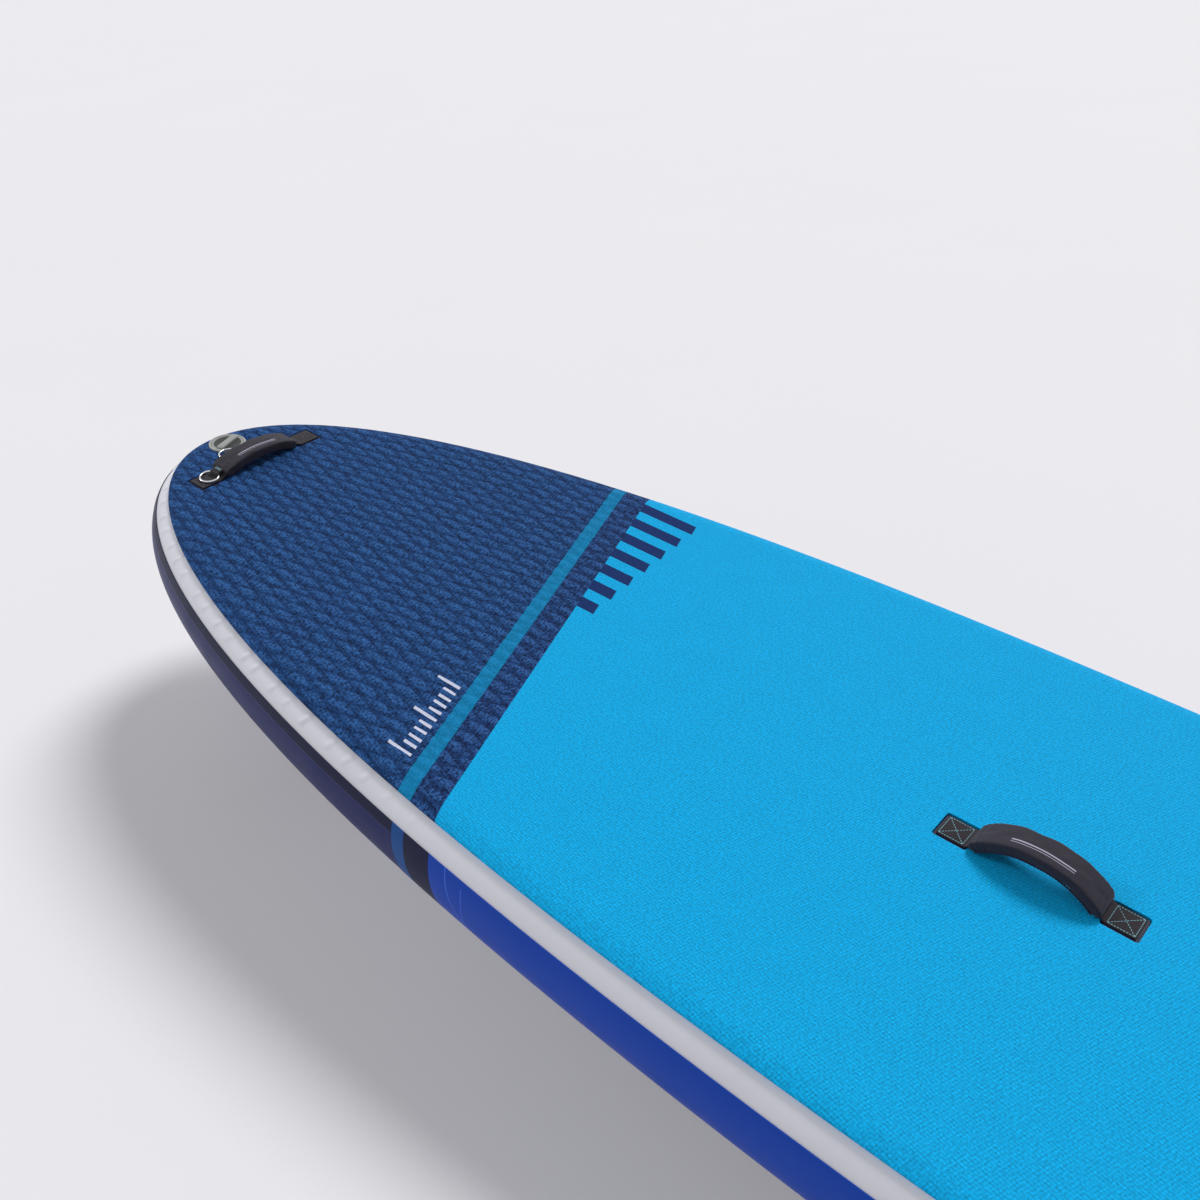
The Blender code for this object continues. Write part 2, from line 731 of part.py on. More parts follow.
def make_pads():
    """The pads: tail, stripe, dark band and main, butted with a fine gap."""
    skew = math.cos(PAD_SLANT)
    stripe_end = STRIPE_START + STRIPE_WIDTH / skew
    band_end = stripe_end + BAND_WIDTH / skew
    half_gap = GAP / 2 / skew
    pieces = (("tail_pad", None, STRIPE_START, NAVY_FOAM),
              ("pad_stripe", STRIPE_START, stripe_end, TEAL_FOAM),
              ("pad_band", stripe_end, band_end, DARK_FOAM),
              ("main_pad", band_end, None, CYAN_FOAM))
    made = {}
    for name, start, end, look in pieces:
        bm = pad_solid()
        if start is not None:
            point, normal = slant_plane(start + half_gap)
            trim(bm, point, -normal)
        if end is not None:
            point, normal = slant_plane(end - half_gap)
            trim(bm, point, normal)
        made[name] = from_bmesh(name, closed(bm))
    tail, main = made["tail_pad"], made["main_pad"]
    boolean(tail, deck_hole("pad_valve_hole", FLANGE_RADIUS + RIM_CLEARANCE), "DIFFERENCE")
    for sign, side in ((-1, "near"), (1, "far")):
        frame = deck_frame(TAIL_HANDLE_X, sign * PATCH_SPACING / 2)
        boolean(tail, pocket("tail_pocket_" + side, frame, PATCH_SIDE, PATCH_SIDE), "DIFFERENCE")
        frame = deck_frame(CENTRE_HANDLE_X + sign * PATCH_SPACING / 2, 0)
        boolean(main, pocket("centre_pocket_" + side, frame, PATCH_SIDE, PATCH_SIDE), "DIFFERENCE")
    leash = deck_frame(LEASH_PATCH_X, -LEASH_ASIDE)
    boolean(tail, pocket("leash_pocket", leash, LEASH_PATCH_LENGTH, LEASH_PATCH_WIDTH), "DIFFERENCE")
    boolean(main, pad_front(), "INTERSECT")
    for name, start, end, look in pieces:
        finish(made[name], look)


def at_valve(obj):
    """Stand a piece on the valve's axis, at the height of the deck."""
    obj.location = (VALVE_X, 0, DECK)
    return obj


def make_valve_body():
    """The moulded body: a flange with a recess for the cap, and a barrel with the seat."""
    recess = CAP_RADIUS + CAP_CLEARANCE
    body = turned("valve_body", [
        (recess, FLANGE_TOP), (FLANGE_RADIUS - FLANGE_EDGE, FLANGE_TOP),
        (FLANGE_RADIUS, FLANGE_TOP - FLANGE_EDGE), (FLANGE_RADIUS, FLANGE_LOW),
        (BARREL_RADIUS, FLANGE_LOW), (BARREL_RADIUS, -BARREL_DEPTH),
        (SEAT_RADIUS, -BARREL_DEPTH), (SEAT_RADIUS, SHELF_TOP), (MOUTH_RADIUS, SHELF_TOP),
        (MOUTH_RADIUS, RECESS_FLOOR), (recess, RECESS_FLOOR)])
    finish(at_valve(body), GREY_PLASTIC)
    hole = BARREL_RADIUS + RIM_CLEARANCE
    edge = FLANGE_RADIUS - GASKET_INSET
    gasket = turned("valve_gasket", [
        (hole, GAP + GASKET), (edge, GAP + GASKET), (edge, GAP), (hole, GAP)])
    finish(at_valve(gasket), RUBBER)


def make_valve_nut():
    """The notched nut that clamps the deck from inside, below the skin's curve at the tail."""
    curve_reach = NUT_RADIUS - (VALVE_FROM_PAD_TIP - RAIL_INSET)
    inner_radius = RAIL_RADIUS - SKIN
    fall = inner_radius - math.sqrt(inner_radius ** 2 - curve_reach ** 2)
    top = -SKIN - fall - GAP
    low = top - NUT_HEIGHT
    bore = BARREL_RADIUS + GAP
    nut = turned("valve_nut", [
        (bore, top), (NUT_RADIUS, top), (NUT_RADIUS, top - NUT_LIP),
        (NUT_RADIUS - NUT_TAPER, low), (bore, low)])
    for notch in range(NUT_NOTCHES):
        cut = cylinder("nut_notch_%d" % notch, NOTCH_RADIUS, low - NUT_LIP, top + NUT_LIP, 10)
        angle = notch * 2 * math.pi / NUT_NOTCHES
        cut.location = (VALVE_X + NUT_RADIUS * math.cos(angle), NUT_RADIUS * math.sin(angle), DECK)
        boolean(nut, cut, "DIFFERENCE")
    finish(at_valve(nut), GREY_PLASTIC)


def make_valve_guide():
    """The insert that guides the stem: a rim on the shelf, a hub and three spokes."""
    rim = MOUTH_RADIUS - GAP
    top = GUIDE_LOW + GUIDE_HEIGHT
    guide = turned("valve_guide", [
        (rim - GUIDE_RIM, top), (rim, top), (rim, GUIDE_LOW), (rim - GUIDE_RIM, GUIDE_LOW)], 24)
    hub_bore = STEM_RADIUS + GAP
    hub = turned("guide_hub", [
        (hub_bore, HUB_TOP), (hub_bore + HUB_WALL, HUB_TOP),
        (hub_bore + HUB_WALL, GUIDE_LOW), (hub_bore, GUIDE_LOW)], 16)
    boolean(guide, at_valve(hub), "UNION")
    start = hub_bore + HUB_WALL / 2
    end = rim - GUIDE_RIM / 2
    for arm in range(SPOKES):
        size = (end - start, SPOKE_WIDTH, GUIDE_HEIGHT - 2 * GAP)
        spoke = box("guide_spoke_%d" % arm, size, ((start + end) / 2, 0, (GUIDE_LOW + top) / 2))
        spoke.rotation_euler = (0, 0, arm * 2 * math.pi / SPOKES)
        boolean(guide, at_valve(spoke), "UNION")
    finish(at_valve(guide), GREY_PLASTIC)


def make_valve_stem():
    """The stem with its button and sealing disc, the disc's seal, and the spring under the button."""
    stem = turned("valve_stem", [
        (0.0, BUTTON_LOW + BUTTON_HEIGHT), (BUTTON_RADIUS, BUTTON_LOW + BUTTON_HEIGHT),
        (BUTTON_RADIUS, BUTTON_LOW), (STEM_RADIUS, BUTTON_LOW), (STEM_RADIUS, DISC_TOP),
        (DISC_RADIUS, DISC_TOP), (DISC_RADIUS, DISC_TOP - DISC_THICKNESS),
        (0.0, DISC_TOP - DISC_THICKNESS)], 24)
    finish(at_valve(stem), GREY_PLASTIC)
    inner = SEAT_RADIUS + SEAT_SEAL_INSET
    top = -BARREL_DEPTH - GAP
    seal = turned("valve_seat_seal", [
        (inner, top), (DISC_RADIUS, top), (DISC_RADIUS, top - SEAT_SEAL), (inner, top - SEAT_SEAL)], 24)
    finish(at_valve(seal), RUBBER)
    low = HUB_TOP + GAP + SPRING_WIRE
    high = BUTTON_LOW - GAP - SPRING_WIRE
    steps = SPRING_TURNS * POINTS_PER_TURN
    coil = []
    for step in range(steps + 1):
        angle = 2 * math.pi * step / POINTS_PER_TURN
        coil.append((SPRING_RADIUS * math.cos(angle), SPRING_RADIUS * math.sin(angle),
                     low + (high - low) * step / steps))
    gap = least_gap(coil, SPRING_WIRE, POINTS_PER_TURN // 2)
    print("The valve spring's least gap to itself is %.2f mm" % (gap * 1000))
    finish(at_valve(tube("valve_spring", coil, SPRING_WIRE, resolution=1)), STEEL, 1.0)


def make_valve_cap():
    """The cap: a disc with a raised finger bar, a hollow plug and the seal in the plug's groove."""
    low = RECESS_FLOOR + GAP
    high = low + CAP_THICKNESS
    groove = PLUG_RADIUS - GROOVE_DEPTH
    hollow = PLUG_RADIUS - PLUG_WALL
    cap = turned("valve_cap", [
        (0.0, high), (CAP_RADIUS - CAP_EDGE, high), (CAP_RADIUS, high - CAP_EDGE), (CAP_RADIUS, low),
        (PLUG_RADIUS, low), (PLUG_RADIUS, GROOVE_HALF - GROOVE_DOWN),
        (groove, GROOVE_HALF - GROOVE_DOWN), (groove, -GROOVE_HALF - GROOVE_DOWN),
        (PLUG_RADIUS, -GROOVE_HALF - GROOVE_DOWN), (PLUG_RADIUS, -PLUG_DEPTH), (hollow, -PLUG_DEPTH),
        (hollow, high - CAP_ROOF), (0.0, high - CAP_ROOF)])
    sunk = CAP_THICKNESS / 2
    size = (2 * (CAP_RADIUS - CAP_BAR_END), CAP_BAR_WIDTH, CAP_BAR_HEIGHT + sunk)
    bar = box("cap_bar", size, (0, 0, high + (CAP_BAR_HEIGHT - sunk) / 2), CAP_BAR_END)
    bar.rotation_euler = (0, 0, CAP_BAR_ANGLE)
    boolean(cap, at_valve(bar), "UNION")
    finish(at_valve(cap), DARK_PLASTIC)
    inside = groove + GAP
    outside = PLUG_RADIUS + GAP
    seal = turned("valve_cap_seal", [
        (inside, GROOVE_HALF - GAP - GROOVE_DOWN), (outside, GROOVE_HALF / 2 - GROOVE_DOWN),
        (outside, -GROOVE_HALF / 2 - GROOVE_DOWN), (inside, GAP - GROOVE_HALF - GROOVE_DOWN)], 24)
    finish(at_valve(seal), RUBBER)


def arch_point(along, rise):
    """The strap's height and slope at a place along a handle."""
    share = min(1.0, abs(along) / ARCH_HALF)
    up = WEB_LEVEL + rise * (1 - share ** ARCH_POWER)
    steepness = rise * ARCH_POWER * share ** (ARCH_POWER - 1) / ARCH_HALF
    return up, -math.copysign(steepness, along)


def handle_path(rise):
    """A strap's line: flat tab, arch, flat tab, as (along, up) points above the deck."""
    outer = PATCH_SPACING / 2 + WEBBING_WIDTH / 2
    arch = []
    for step in range(ARCH_STEPS + 1):
        along = ARCH_HALF * (2 * step / ARCH_STEPS - 1)
        arch.append((along, arch_point(along, rise)[0]))
    return [(-outer, WEB_LEVEL)] + arch + [(outer, WEB_LEVEL)]


def grip_ring(along, rise, thickness):
    """One rounded section of a grip, square to the strap."""
    up, slope = arch_point(along, rise)
    angle = math.atan(slope)
    corner = GRIP_ROUNDING * thickness / GRIP_THICKNESS
    ring = []
    for quarter in range(4):
        side = 1 if quarter in (0, 3) else -1
        top = 1 if quarter in (0, 1) else -1
        for step in range(3):
            turn = quarter * math.pi / 2 + step * math.pi / 4
            across = side * (GRIP_WIDTH / 2 - corner) + corner * math.cos(turn)
            rise_here = top * (thickness / 2 - corner) + corner * math.sin(turn)
            ring.append((along - rise_here * math.sin(angle), across,
                         up + rise_here * math.cos(angle)))
    return ring


def make_patch(name, frame, along, size):
    """A square glued patch that lies on the deck."""
    patch = box(name, size, (along, 0, GAP + size[2] / 2), PATCH_CORNER)
    patch.matrix_world = frame
    return finish(patch, NAVY_PVC)


def make_handle(prefix, frame, rise, grip_half):
    """A handle: two glued patches, one strap through both, and the padded grip on its arch."""
    for sign, end in ((-1, "a"), (1, "b")):
        make_patch(prefix + "_patch_" + end, frame, sign * PATCH_SPACING / 2,
                   (PATCH_SIDE, PATCH_SIDE, PATCH_THICKNESS))
    strap = ribbon(prefix + "_webbing", handle_path(rise), WEBBING_WIDTH, WEBBING)
    strap.matrix_world = frame
    finish(strap, BLACK_WEB)
    rings = []
    for step in range(GRIP_STEPS + 1):
        share = 2 * step / GRIP_STEPS - 1
        thickness = GRIP_THICKNESS * (1 - GRIP_END_DROP * abs(share) ** 8)
        rings.append(grip_ring(grip_half * share, rise, thickness))
    grip = loft(prefix + "_grip", rings)
    grip.matrix_world = frame
    slot = ribbon(prefix + "_grip_slot", handle_path(rise), WEBBING_WIDTH + 2 * GAP, WEBBING + 2 * GAP)
    slot.matrix_world = frame
    boolean(grip, slot, "DIFFERENCE")
    finish(grip, GRIP_CLOTH)


def make_handles():
    """Tail handle across the board, centre handle along it, nose handle across."""
    across = math.pi / 2
    make_handle("tail_handle", deck_frame(TAIL_HANDLE_X, 0, across), LOW_ARCH, LOW_GRIP_HALF)
    make_handle("centre_handle", deck_frame(CENTRE_HANDLE_X, 0), HIGH_ARCH, HIGH_GRIP_HALF)
    nose = deck_frame(flat_spot(NOSE_HANDLE_X), 0, across)
    make_handle("nose_handle", nose, LOW_ARCH, LOW_GRIP_HALF)


def ring_points():
    """A D-shaped loop in its own plane: the bar lies on the Y axis, the bow towards -X."""
    bar_half = math.sqrt(RING_RADIUS ** 2 - RING_BAR_OFFSET ** 2) - RING_CORNER * 0.7
    shoulder = (-RING_CORNER * 0.3, bar_half + RING_CORNER * 0.75)
    points = [(0.0, -bar_half), (0.0, bar_half), shoulder]
    for step in range(RING_BOW_STEPS + 1):
        angle = RING_BOW - 2 * RING_BOW * step / RING_BOW_STEPS
        points.append((-RING_BAR_OFFSET - RING_RADIUS * math.cos(angle),
                       RING_RADIUS * math.sin(angle)))
    points.append((shoulder[0], -shoulder[1]))
    return points


def make_ring(name, frame, bar_up, drop):
    """A ring whose origin is on its hinge line, and whose bow lies lower than its bar by drop."""
    ring = tube(name, [(x, y, 0.0) for x, y in ring_points()], WIRE_RADIUS, cyclic=True)
    tilt = math.asin(drop / (RING_RADIUS + RING_BAR_OFFSET))
    ring.matrix_world = frame @ Matrix.Translation((0, 0, bar_up)) @ Matrix.Rotation(-tilt, 4, "Y")
    return finish(ring, STEEL, 1.0)


def make_loop(name, frame, bar_up, tail_up, length):
    """A strap folded round a ring's bar: the bar is at the frame's origin, the tails run to +X."""
    turn_radius = WIRE_RADIUS + LOOP_CLEARANCE + LOOP_WEB / 2
    path = [(length, tail_up)]
    for step in range(LOOP_STEPS + 1):
        angle = -LOOP_MOUTH - 2 * (math.pi - LOOP_MOUTH) * step / LOOP_STEPS
        path.append((turn_radius * math.cos(angle), bar_up + turn_radius * math.sin(angle)))
    path.append((length, tail_up + LOOP_WEB + 2 * GAP))
    loop = ribbon(name, path, LOOP_WIDTH, LOOP_WEB)
    loop.matrix_world = frame
    return finish(loop, BLACK_WEB)


def bar_above(surface):
    """The height of a ring's bar whose loop turns just above a surface."""
    return surface + LOOP_WEB + LOOP_CLEARANCE + WIRE_RADIUS


def make_tail_ring():
    """The ring at the tail handle's near end: its loop is sewn to the strap, past the grip."""
    frame = deck_frame(TAIL_HANDLE_X, -ARCH_HALF, math.pi / 2)
    web_top = WEB_LEVEL + WEBBING / 2
    bar_up = bar_above(web_top + GAP) + TAIL_RING_RAISE
    strap_up, slope = arch_point(ARCH_HALF - TAIL_LOOP_LENGTH - TAIL_RING_RAISE, LOW_ARCH)
    tail_up = strap_up + WEBBING / 2 + LOOP_WEB + GAP
    make_loop("tail_handle_ring_loop", frame, bar_up, tail_up, TAIL_LOOP_LENGTH)
    make_ring("tail_handle_ring", frame, bar_up, (bar_up - web_top - GAP - WIRE_RADIUS) * 0.9)


def make_leash_ring():
    """The leash ring between the valve and the tail handle, on its own patch."""
    frame = deck_frame(LEASH_BAR_X, -LEASH_ASIDE)
    make_patch("leash_patch", frame, LEASH_PATCH_BEHIND,
               (LEASH_PATCH_LENGTH, LEASH_PATCH_WIDTH, PATCH_THICKNESS))
    bar_up = bar_above(PAD_TOP - DECK + GAP)
    tail_up = PATCH_THICKNESS + 2 * GAP + LOOP_WEB / 2
    make_loop("leash_loop", frame, bar_up, tail_up, LEASH_LOOP_LENGTH)
    make_ring("leash_ring", frame, bar_up, 0.0)


def make_lashing(name, x, y):
    """A glued round patch with its folded loop and a ring that lies towards the centre line."""
    frame = deck_frame(x, y, math.copysign(math.pi / 2, y))
    top = GAP + LASH_PATCH_THICKNESS
    patch = cylinder(name + "_patch", LASH_PATCH_RADIUS, GAP, top, 28)
    patch.matrix_world = frame
    finish(patch, NAVY_PVC)
    bar_up = bar_above(top + GAP)
    make_loop(name + "_loop", frame, bar_up, top + GAP + LOOP_WEB / 2, LASH_LOOP_LENGTH)
    make_ring(name + "_ring", frame, bar_up, (bar_up - top - 2 * GAP - WIRE_RADIUS) * 0.9)


def make_rings():
    """The ring at the tail handle's end, the leash ring, and four lashing rings."""
    make_tail_ring()
    make_leash_ring()
    for end, from_nose, inset in (("rear", REAR_LASH_FROM_NOSE, REAR_LASH_INSET),
                                  ("front", FRONT_LASH_FROM_NOSE, FRONT_LASH_INSET)):
        x = flat_spot(BOARD_LENGTH / 2 - from_nose)
        y = half_width_at(x, 0.0) - inset
        make_lashing("lash_" + end + "_left", x, y)
        make_lashing("lash_" + end + "_right", x, -y)


def fin_rings(front, chord, depth, thickness, rake, top, tip_share):
    """Foil sections from the root down to the tip, fuller towards the leading edge."""
    rings = []
    for section in range(FOIL_SECTIONS + 1):
        share = section / FOIL_SECTIONS
        narrowing = (1 - share ** OUTLINE_POWER) ** OUTLINE_ROUNDING
        width = chord * (tip_share + (1 - tip_share) * narrowing)
        lead = front - rake * share ** SWEEP_POWER
        half = thickness / 2 * (1 - TIP_THINNING * share)
        ring = []
        for step in range(FOIL_POINTS):
            turn = 2 * math.pi * step / FOIL_POINTS
            along = (math.cos(turn) - 1) / 2
            bulge = math.sin(turn) * (1 - FOIL_FULLNESS + FOIL_FULLNESS * math.cos(turn))
            ring.append((lead + width * along, half * bulge, top - depth * share))
        rings.append(ring)
    return rings


def mound_ring(inset, height):
    """One level of the mound: a rounded oblong, drawn in by inset."""
    ring = []
    steps = 28
    power = 2 / MOUND_SQUARENESS
    for step in range(steps):
        turn = 2 * math.pi * step / steps
        along = math.copysign(abs(math.cos(turn)) ** power, math.cos(turn))
        side = math.copysign(abs(math.sin(turn)) ** power, math.sin(turn))
        ring.append(((MOUND_LENGTH / 2 - inset) * along, (MOUND_WIDTH / 2 - inset) * side, -height))
    return ring


def make_fin_box():
    """The moulded mound on the bottom skin, and the slotted box that it holds."""
    spot = (FIN_BOX_X, 0, 0)
    levels = 4
    rings = []
    for level in range(levels + 1):
        turn = math.pi / 2 * level / levels
        inset = MOUND_SLOPE * (1 - math.cos(turn))
        rings.append(mound_ring(inset, GAP + (MOUND_HEIGHT - GAP) * math.sin(turn)))
    mound = loft("fin_box_mound", rings)
    size = (BOX_LENGTH + 2 * GAP, BOX_WIDTH + 2 * GAP, 2 * MOUND_HEIGHT)
    socket = box("mound_socket", size, (0, 0, BOX_TOP + GAP - MOUND_HEIGHT), BOX_CORNER)
    socket.location = spot
    boolean(mound, socket, "DIFFERENCE")
    mound.location = spot
    finish(mound, NAVY_PVC)
    size = (BOX_LENGTH, BOX_WIDTH, BOX_TOP + MOUND_HEIGHT)
    channel = box("fin_box", size, (0, 0, (BOX_TOP - MOUND_HEIGHT) / 2), BOX_CORNER)
    slot = box("box_slot", (SLOT_LENGTH, SLOT_WIDTH, 2 * MOUND_HEIGHT),
               (0, 0, SLOT_TOP - MOUND_HEIGHT), SLOT_CORNER)
    track = box("box_track", (SLOT_LENGTH - 2 * TRACK_END, TRACK_WIDTH, TRACK_HEIGHT),
                (0, 0, TRACK_MIDDLE))
    entry = box("box_entry", (ENTRY_LENGTH, TRACK_WIDTH, MOUND_HEIGHT),
                (0, 0, -TRACK_DEPTH - MOUND_HEIGHT / 2))
    for cut in (slot, track, entry):
        cut.location = spot
        boolean(channel, cut, "DIFFERENCE")
    channel.location = spot
    finish(channel, BLACK_PLASTIC)


def cross_pin(name, radius, half_length):
    """A pin across the slot, at the fin's cross pin."""
    pin = cylinder(name, radius, -half_length, half_length, 12)
    pin.rotation_euler = (math.pi / 2, 0, 0)
    pin.location = (PIN_X, 0, TRACK_MIDDLE)
    return pin


def screw_hole(name):
    """A cutter that clears the thumb screw's shank."""
    hole = cylinder(name, SCREW_RADIUS + GAP, -2 * MOUND_HEIGHT, 0, 16)
    hole.location = (SCREW_X, 0, 0)
    return hole


def make_centre_fin():
    """The fin: a raked foil with a tab for the cross pin and a foot for the thumb screw."""
    blade = loft("centre_fin", fin_rings(FIN_FRONT, FIN_CHORD, FIN_DEPTH, FIN_THICKNESS,
                                         FIN_RAKE, FIN_ROOT, FIN_TIP_SHARE))
    width = SLOT_WIDTH - 2 * GAP
    tab_top = SLOT_TOP - TAB_CLEARANCE
    tab_low = FIN_ROOT - TAB_ROOT
    tab = box("fin_tab", (TAB_LENGTH, width, tab_top - tab_low), (TAB_MIDDLE, 0, (tab_top + tab_low) / 2))
    foot_top = -TRACK_DEPTH - TRACK_HEIGHT - GAP
    foot = box("fin_foot", (FOOT_LENGTH, width, foot_top - FIN_ROOT),
               (FOOT_MIDDLE, 0, (foot_top + FIN_ROOT) / 2))
    for other in (tab, foot):
        other.location = (FIN_BOX_X, 0, 0)
        boolean(blade, other, "UNION")
    boolean(blade, cross_pin("fin_pin_hole", PIN_RADIUS + GAP, BOX_WIDTH), "DIFFERENCE")
    boolean(blade, screw_hole("fin_screw_hole"), "DIFFERENCE")
    blade.location = (FIN_BOX_X, 0, 0)
    finish(blade, BLACK_PLASTIC)


def make_fin_fixings():
    """The cross pin, the plate that slides in the track, and the thumb screw up into it."""
    finish(cross_pin("fin_pin", PIN_RADIUS, TRACK_WIDTH / 2 - 2 * GAP), STEEL, 1.0)
    size = (PLATE_LENGTH, TRACK_WIDTH - 4 * GAP, TRACK_HEIGHT - 2 * TRACK_CLEARANCE)
    plate = box("fin_plate", size, (0, 0, TRACK_MIDDLE), PLATE_CORNER)
    boolean(plate, screw_hole("fin_plate_hole"), "DIFFERENCE")
    plate.location = (SCREW_X, 0, 0)
    finish(plate, STEEL, 1.0)
    tip = -TRACK_DEPTH - SCREW_TIP
    head_top = FIN_ROOT - GAP
    head_low = head_top - SCREW_HEAD_HEIGHT
    screw = turned("fin_screw", [
        (0.0, tip), (SCREW_RADIUS, tip), (SCREW_RADIUS, head_top), (SCREW_HEAD_RADIUS, head_top),
        (SCREW_HEAD_RADIUS, head_low + SCREW_HEAD_CHAMFER),
        (SCREW_HEAD_RADIUS - SCREW_HEAD_CHAMFER, head_low), (0.0, head_low)], 24)
    for flute in range(FLUTES):
        groove = cylinder("screw_flute_%d" % flute, FLUTE_RADIUS, head_low - GAP, head_top + GAP, 8)
        angle = flute * 2 * math.pi / FLUTES
        groove.location = (SCREW_X + SCREW_HEAD_RADIUS * math.cos(angle),
                           SCREW_HEAD_RADIUS * math.sin(angle), 0)
        boolean(screw, groove, "DIFFERENCE")
    screw.location = (SCREW_X, 0, 0)
    finish(screw, BLACK_PLASTIC)


def make_side_fins():
    """Two flexible side fins, each moulded with its foot and glued on a patch."""
    for sign, side in ((1, "left"), (-1, "right")):
        frame = Matrix.Translation((SIDE_FIN_X, sign * SIDE_FIN_Y, 0))
        frame = frame @ Matrix.Rotation(-sign * SIDE_FIN_TOE, 4, "Z")
        patch = box("side_fin_patch_" + side,
                    (SIDE_PATCH_LENGTH, SIDE_PATCH_WIDTH, LASH_PATCH_THICKNESS),
                    (0, 0, -GAP - LASH_PATCH_THICKNESS / 2), SIDE_PATCH_CORNER)
        patch.matrix_world = frame
        finish(patch, NAVY_PVC)
        foot_top = -2 * GAP - LASH_PATCH_THICKNESS
        root = foot_top - SIDE_FOOT_THICKNESS / 2
        blade = loft("side_fin_" + side,
                     fin_rings(SIDE_FIN_CHORD / 2, SIDE_FIN_CHORD, SIDE_FIN_DEPTH,
                               SIDE_FIN_THICKNESS, SIDE_FIN_RAKE, root, SIDE_FIN_TIP_SHARE))
        foot = box("side_fin_foot_" + side,
                   (SIDE_FOOT_LENGTH, SIDE_FOOT_WIDTH, SIDE_FOOT_THICKNESS),
                   (0, 0, root), SIDE_FOOT_CORNER)
        blade.matrix_world = frame
        foot.matrix_world = frame
        boolean(blade, foot, "UNION")
        finish(blade, RUBBER)


make_hull()
make_core()
make_pads()
make_valve_body()
make_valve_nut()
make_valve_guide()
make_valve_stem()
make_valve_cap()
make_handles()
make_rings()
make_fin_box()
make_centre_fin()
make_fin_fixings()
make_side_fins()
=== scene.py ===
"""Looks of the inflatable paddleboard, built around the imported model.

Frame: +X to the nose, +Y to the left, +Z up, origin on the flat of the hull, midway along. Metres.
The skins, the rail band and the pads are made again with a smooth outline and their relief. The
handles, rings, valve and fins get their seams, stitches and round edges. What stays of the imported
model gets its material alone.
"""
import json
from math import asin, atan, cos, exp, hypot, pi, radians, sin, sqrt, tan

import bmesh
import bpy
import numpy as np
from mathutils import Matrix, Vector


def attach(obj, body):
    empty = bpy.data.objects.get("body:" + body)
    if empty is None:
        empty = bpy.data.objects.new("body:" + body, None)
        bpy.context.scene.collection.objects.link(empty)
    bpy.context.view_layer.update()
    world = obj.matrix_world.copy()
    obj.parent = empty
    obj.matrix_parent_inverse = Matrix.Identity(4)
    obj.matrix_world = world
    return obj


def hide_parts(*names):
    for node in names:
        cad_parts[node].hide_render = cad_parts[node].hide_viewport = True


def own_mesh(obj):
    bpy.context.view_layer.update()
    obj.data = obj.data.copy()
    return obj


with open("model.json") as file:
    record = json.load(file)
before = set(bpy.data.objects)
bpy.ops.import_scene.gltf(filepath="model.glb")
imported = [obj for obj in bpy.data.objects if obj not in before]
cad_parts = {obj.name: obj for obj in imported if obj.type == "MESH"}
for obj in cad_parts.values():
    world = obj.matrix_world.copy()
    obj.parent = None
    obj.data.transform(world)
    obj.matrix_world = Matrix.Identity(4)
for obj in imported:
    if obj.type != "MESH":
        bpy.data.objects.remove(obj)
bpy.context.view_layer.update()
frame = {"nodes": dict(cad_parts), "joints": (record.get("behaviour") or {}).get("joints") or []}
nodes = frame["nodes"]
joints = {joint["name"]: joint for joint in frame["joints"]}

# Camera, solved from the photograph
CAMERA_AT = Vector((0.0965, -1.0533, 1.1572))
CAMERA_AZIMUTH = 2.251
CAMERA_DOWN = 0.6197
CAMERA_ROLL = 0.0331
CAMERA_LENS = 38.56
SENSOR_WIDTH = 36.0
FAR_CLIP = 200.0

# Light and floor
SUN_FROM = Vector((-0.10, 0.62, 0.76))
SUN_STRENGTH = 2.0
SUN_ANGLE = radians(22)
FILL_FROM = Vector((-0.85, -0.40, 0.50))
FILL_STRENGTH = 0.85
FILL_ANGLE = radians(16)
WORLD_STRENGTH = 0.36
BACKDROP = (0.80, 0.79, 0.82, 1.0)
FLOOR_RADIUS = 60.0
FLOOR_TOUCH_X = -1.4
FLOOR_TOUCH_Z = -0.2290
FLOOR_SLOPE = 0.1094

# Hull, as packed
HULL_THICKNESS = 0.120
RAIL_RADIUS = HULL_THICKNESS / 2
SKIN = 0.0016
BAND_THICKNESS = 0.0012
GAP = 0.0003
DECK = HULL_THICKNESS
HALF_LENGTH = 3.251 / 2
EDGE_MARGIN = 0.030
PAD_HALF = 0.864 / 2 - EDGE_MARGIN
PAD_TIP_X = EDGE_MARGIN - HALF_LENGTH
PAD_NOSE_X = HALF_LENGTH - EDGE_MARGIN
RAIL_INSET = RAIL_RADIUS + GAP + BAND_THICKNESS - EDGE_MARGIN
WIDE_POINT = 0.131
TAIL_SHOULDER = 2.635
TAIL_ROUNDNESS = 2.074
NOSE_SHOULDER = 2.30
NOSE_ROUNDNESS = 2.00
NOSE_LIFT = 0.160
LIFT_START = 0.450
BAND_TOP = radians(55)
BAND_STEP = radians(66)
BAND_LAP = 0.0004
BAND_LAP_FADE = 0.010
BAND_RIM = radians(0.6)
BAND_RIM_DROP = 0.0005
NAVY_EDGE = radians(148)
OUTLINE_SAMPLES = 1500
STATION_SPACING = 0.003

# Puckers along the pad's edge
PUCKER_SEED = 7
PUCKER_PITCH = 0.042
PUCKER_JITTER = 0.22
PUCKER_HEIGHT = 0.0026
PUCKER_WEAKEST = 0.45
PUCKER_WIDTH = 0.0042
PUCKER_LEAN = 0.30
PUCKER_START = 0.68
PUCKER_RISE = 0.16
PUCKER_LEAST = 0.08
PUCKER_REACH = 0.72

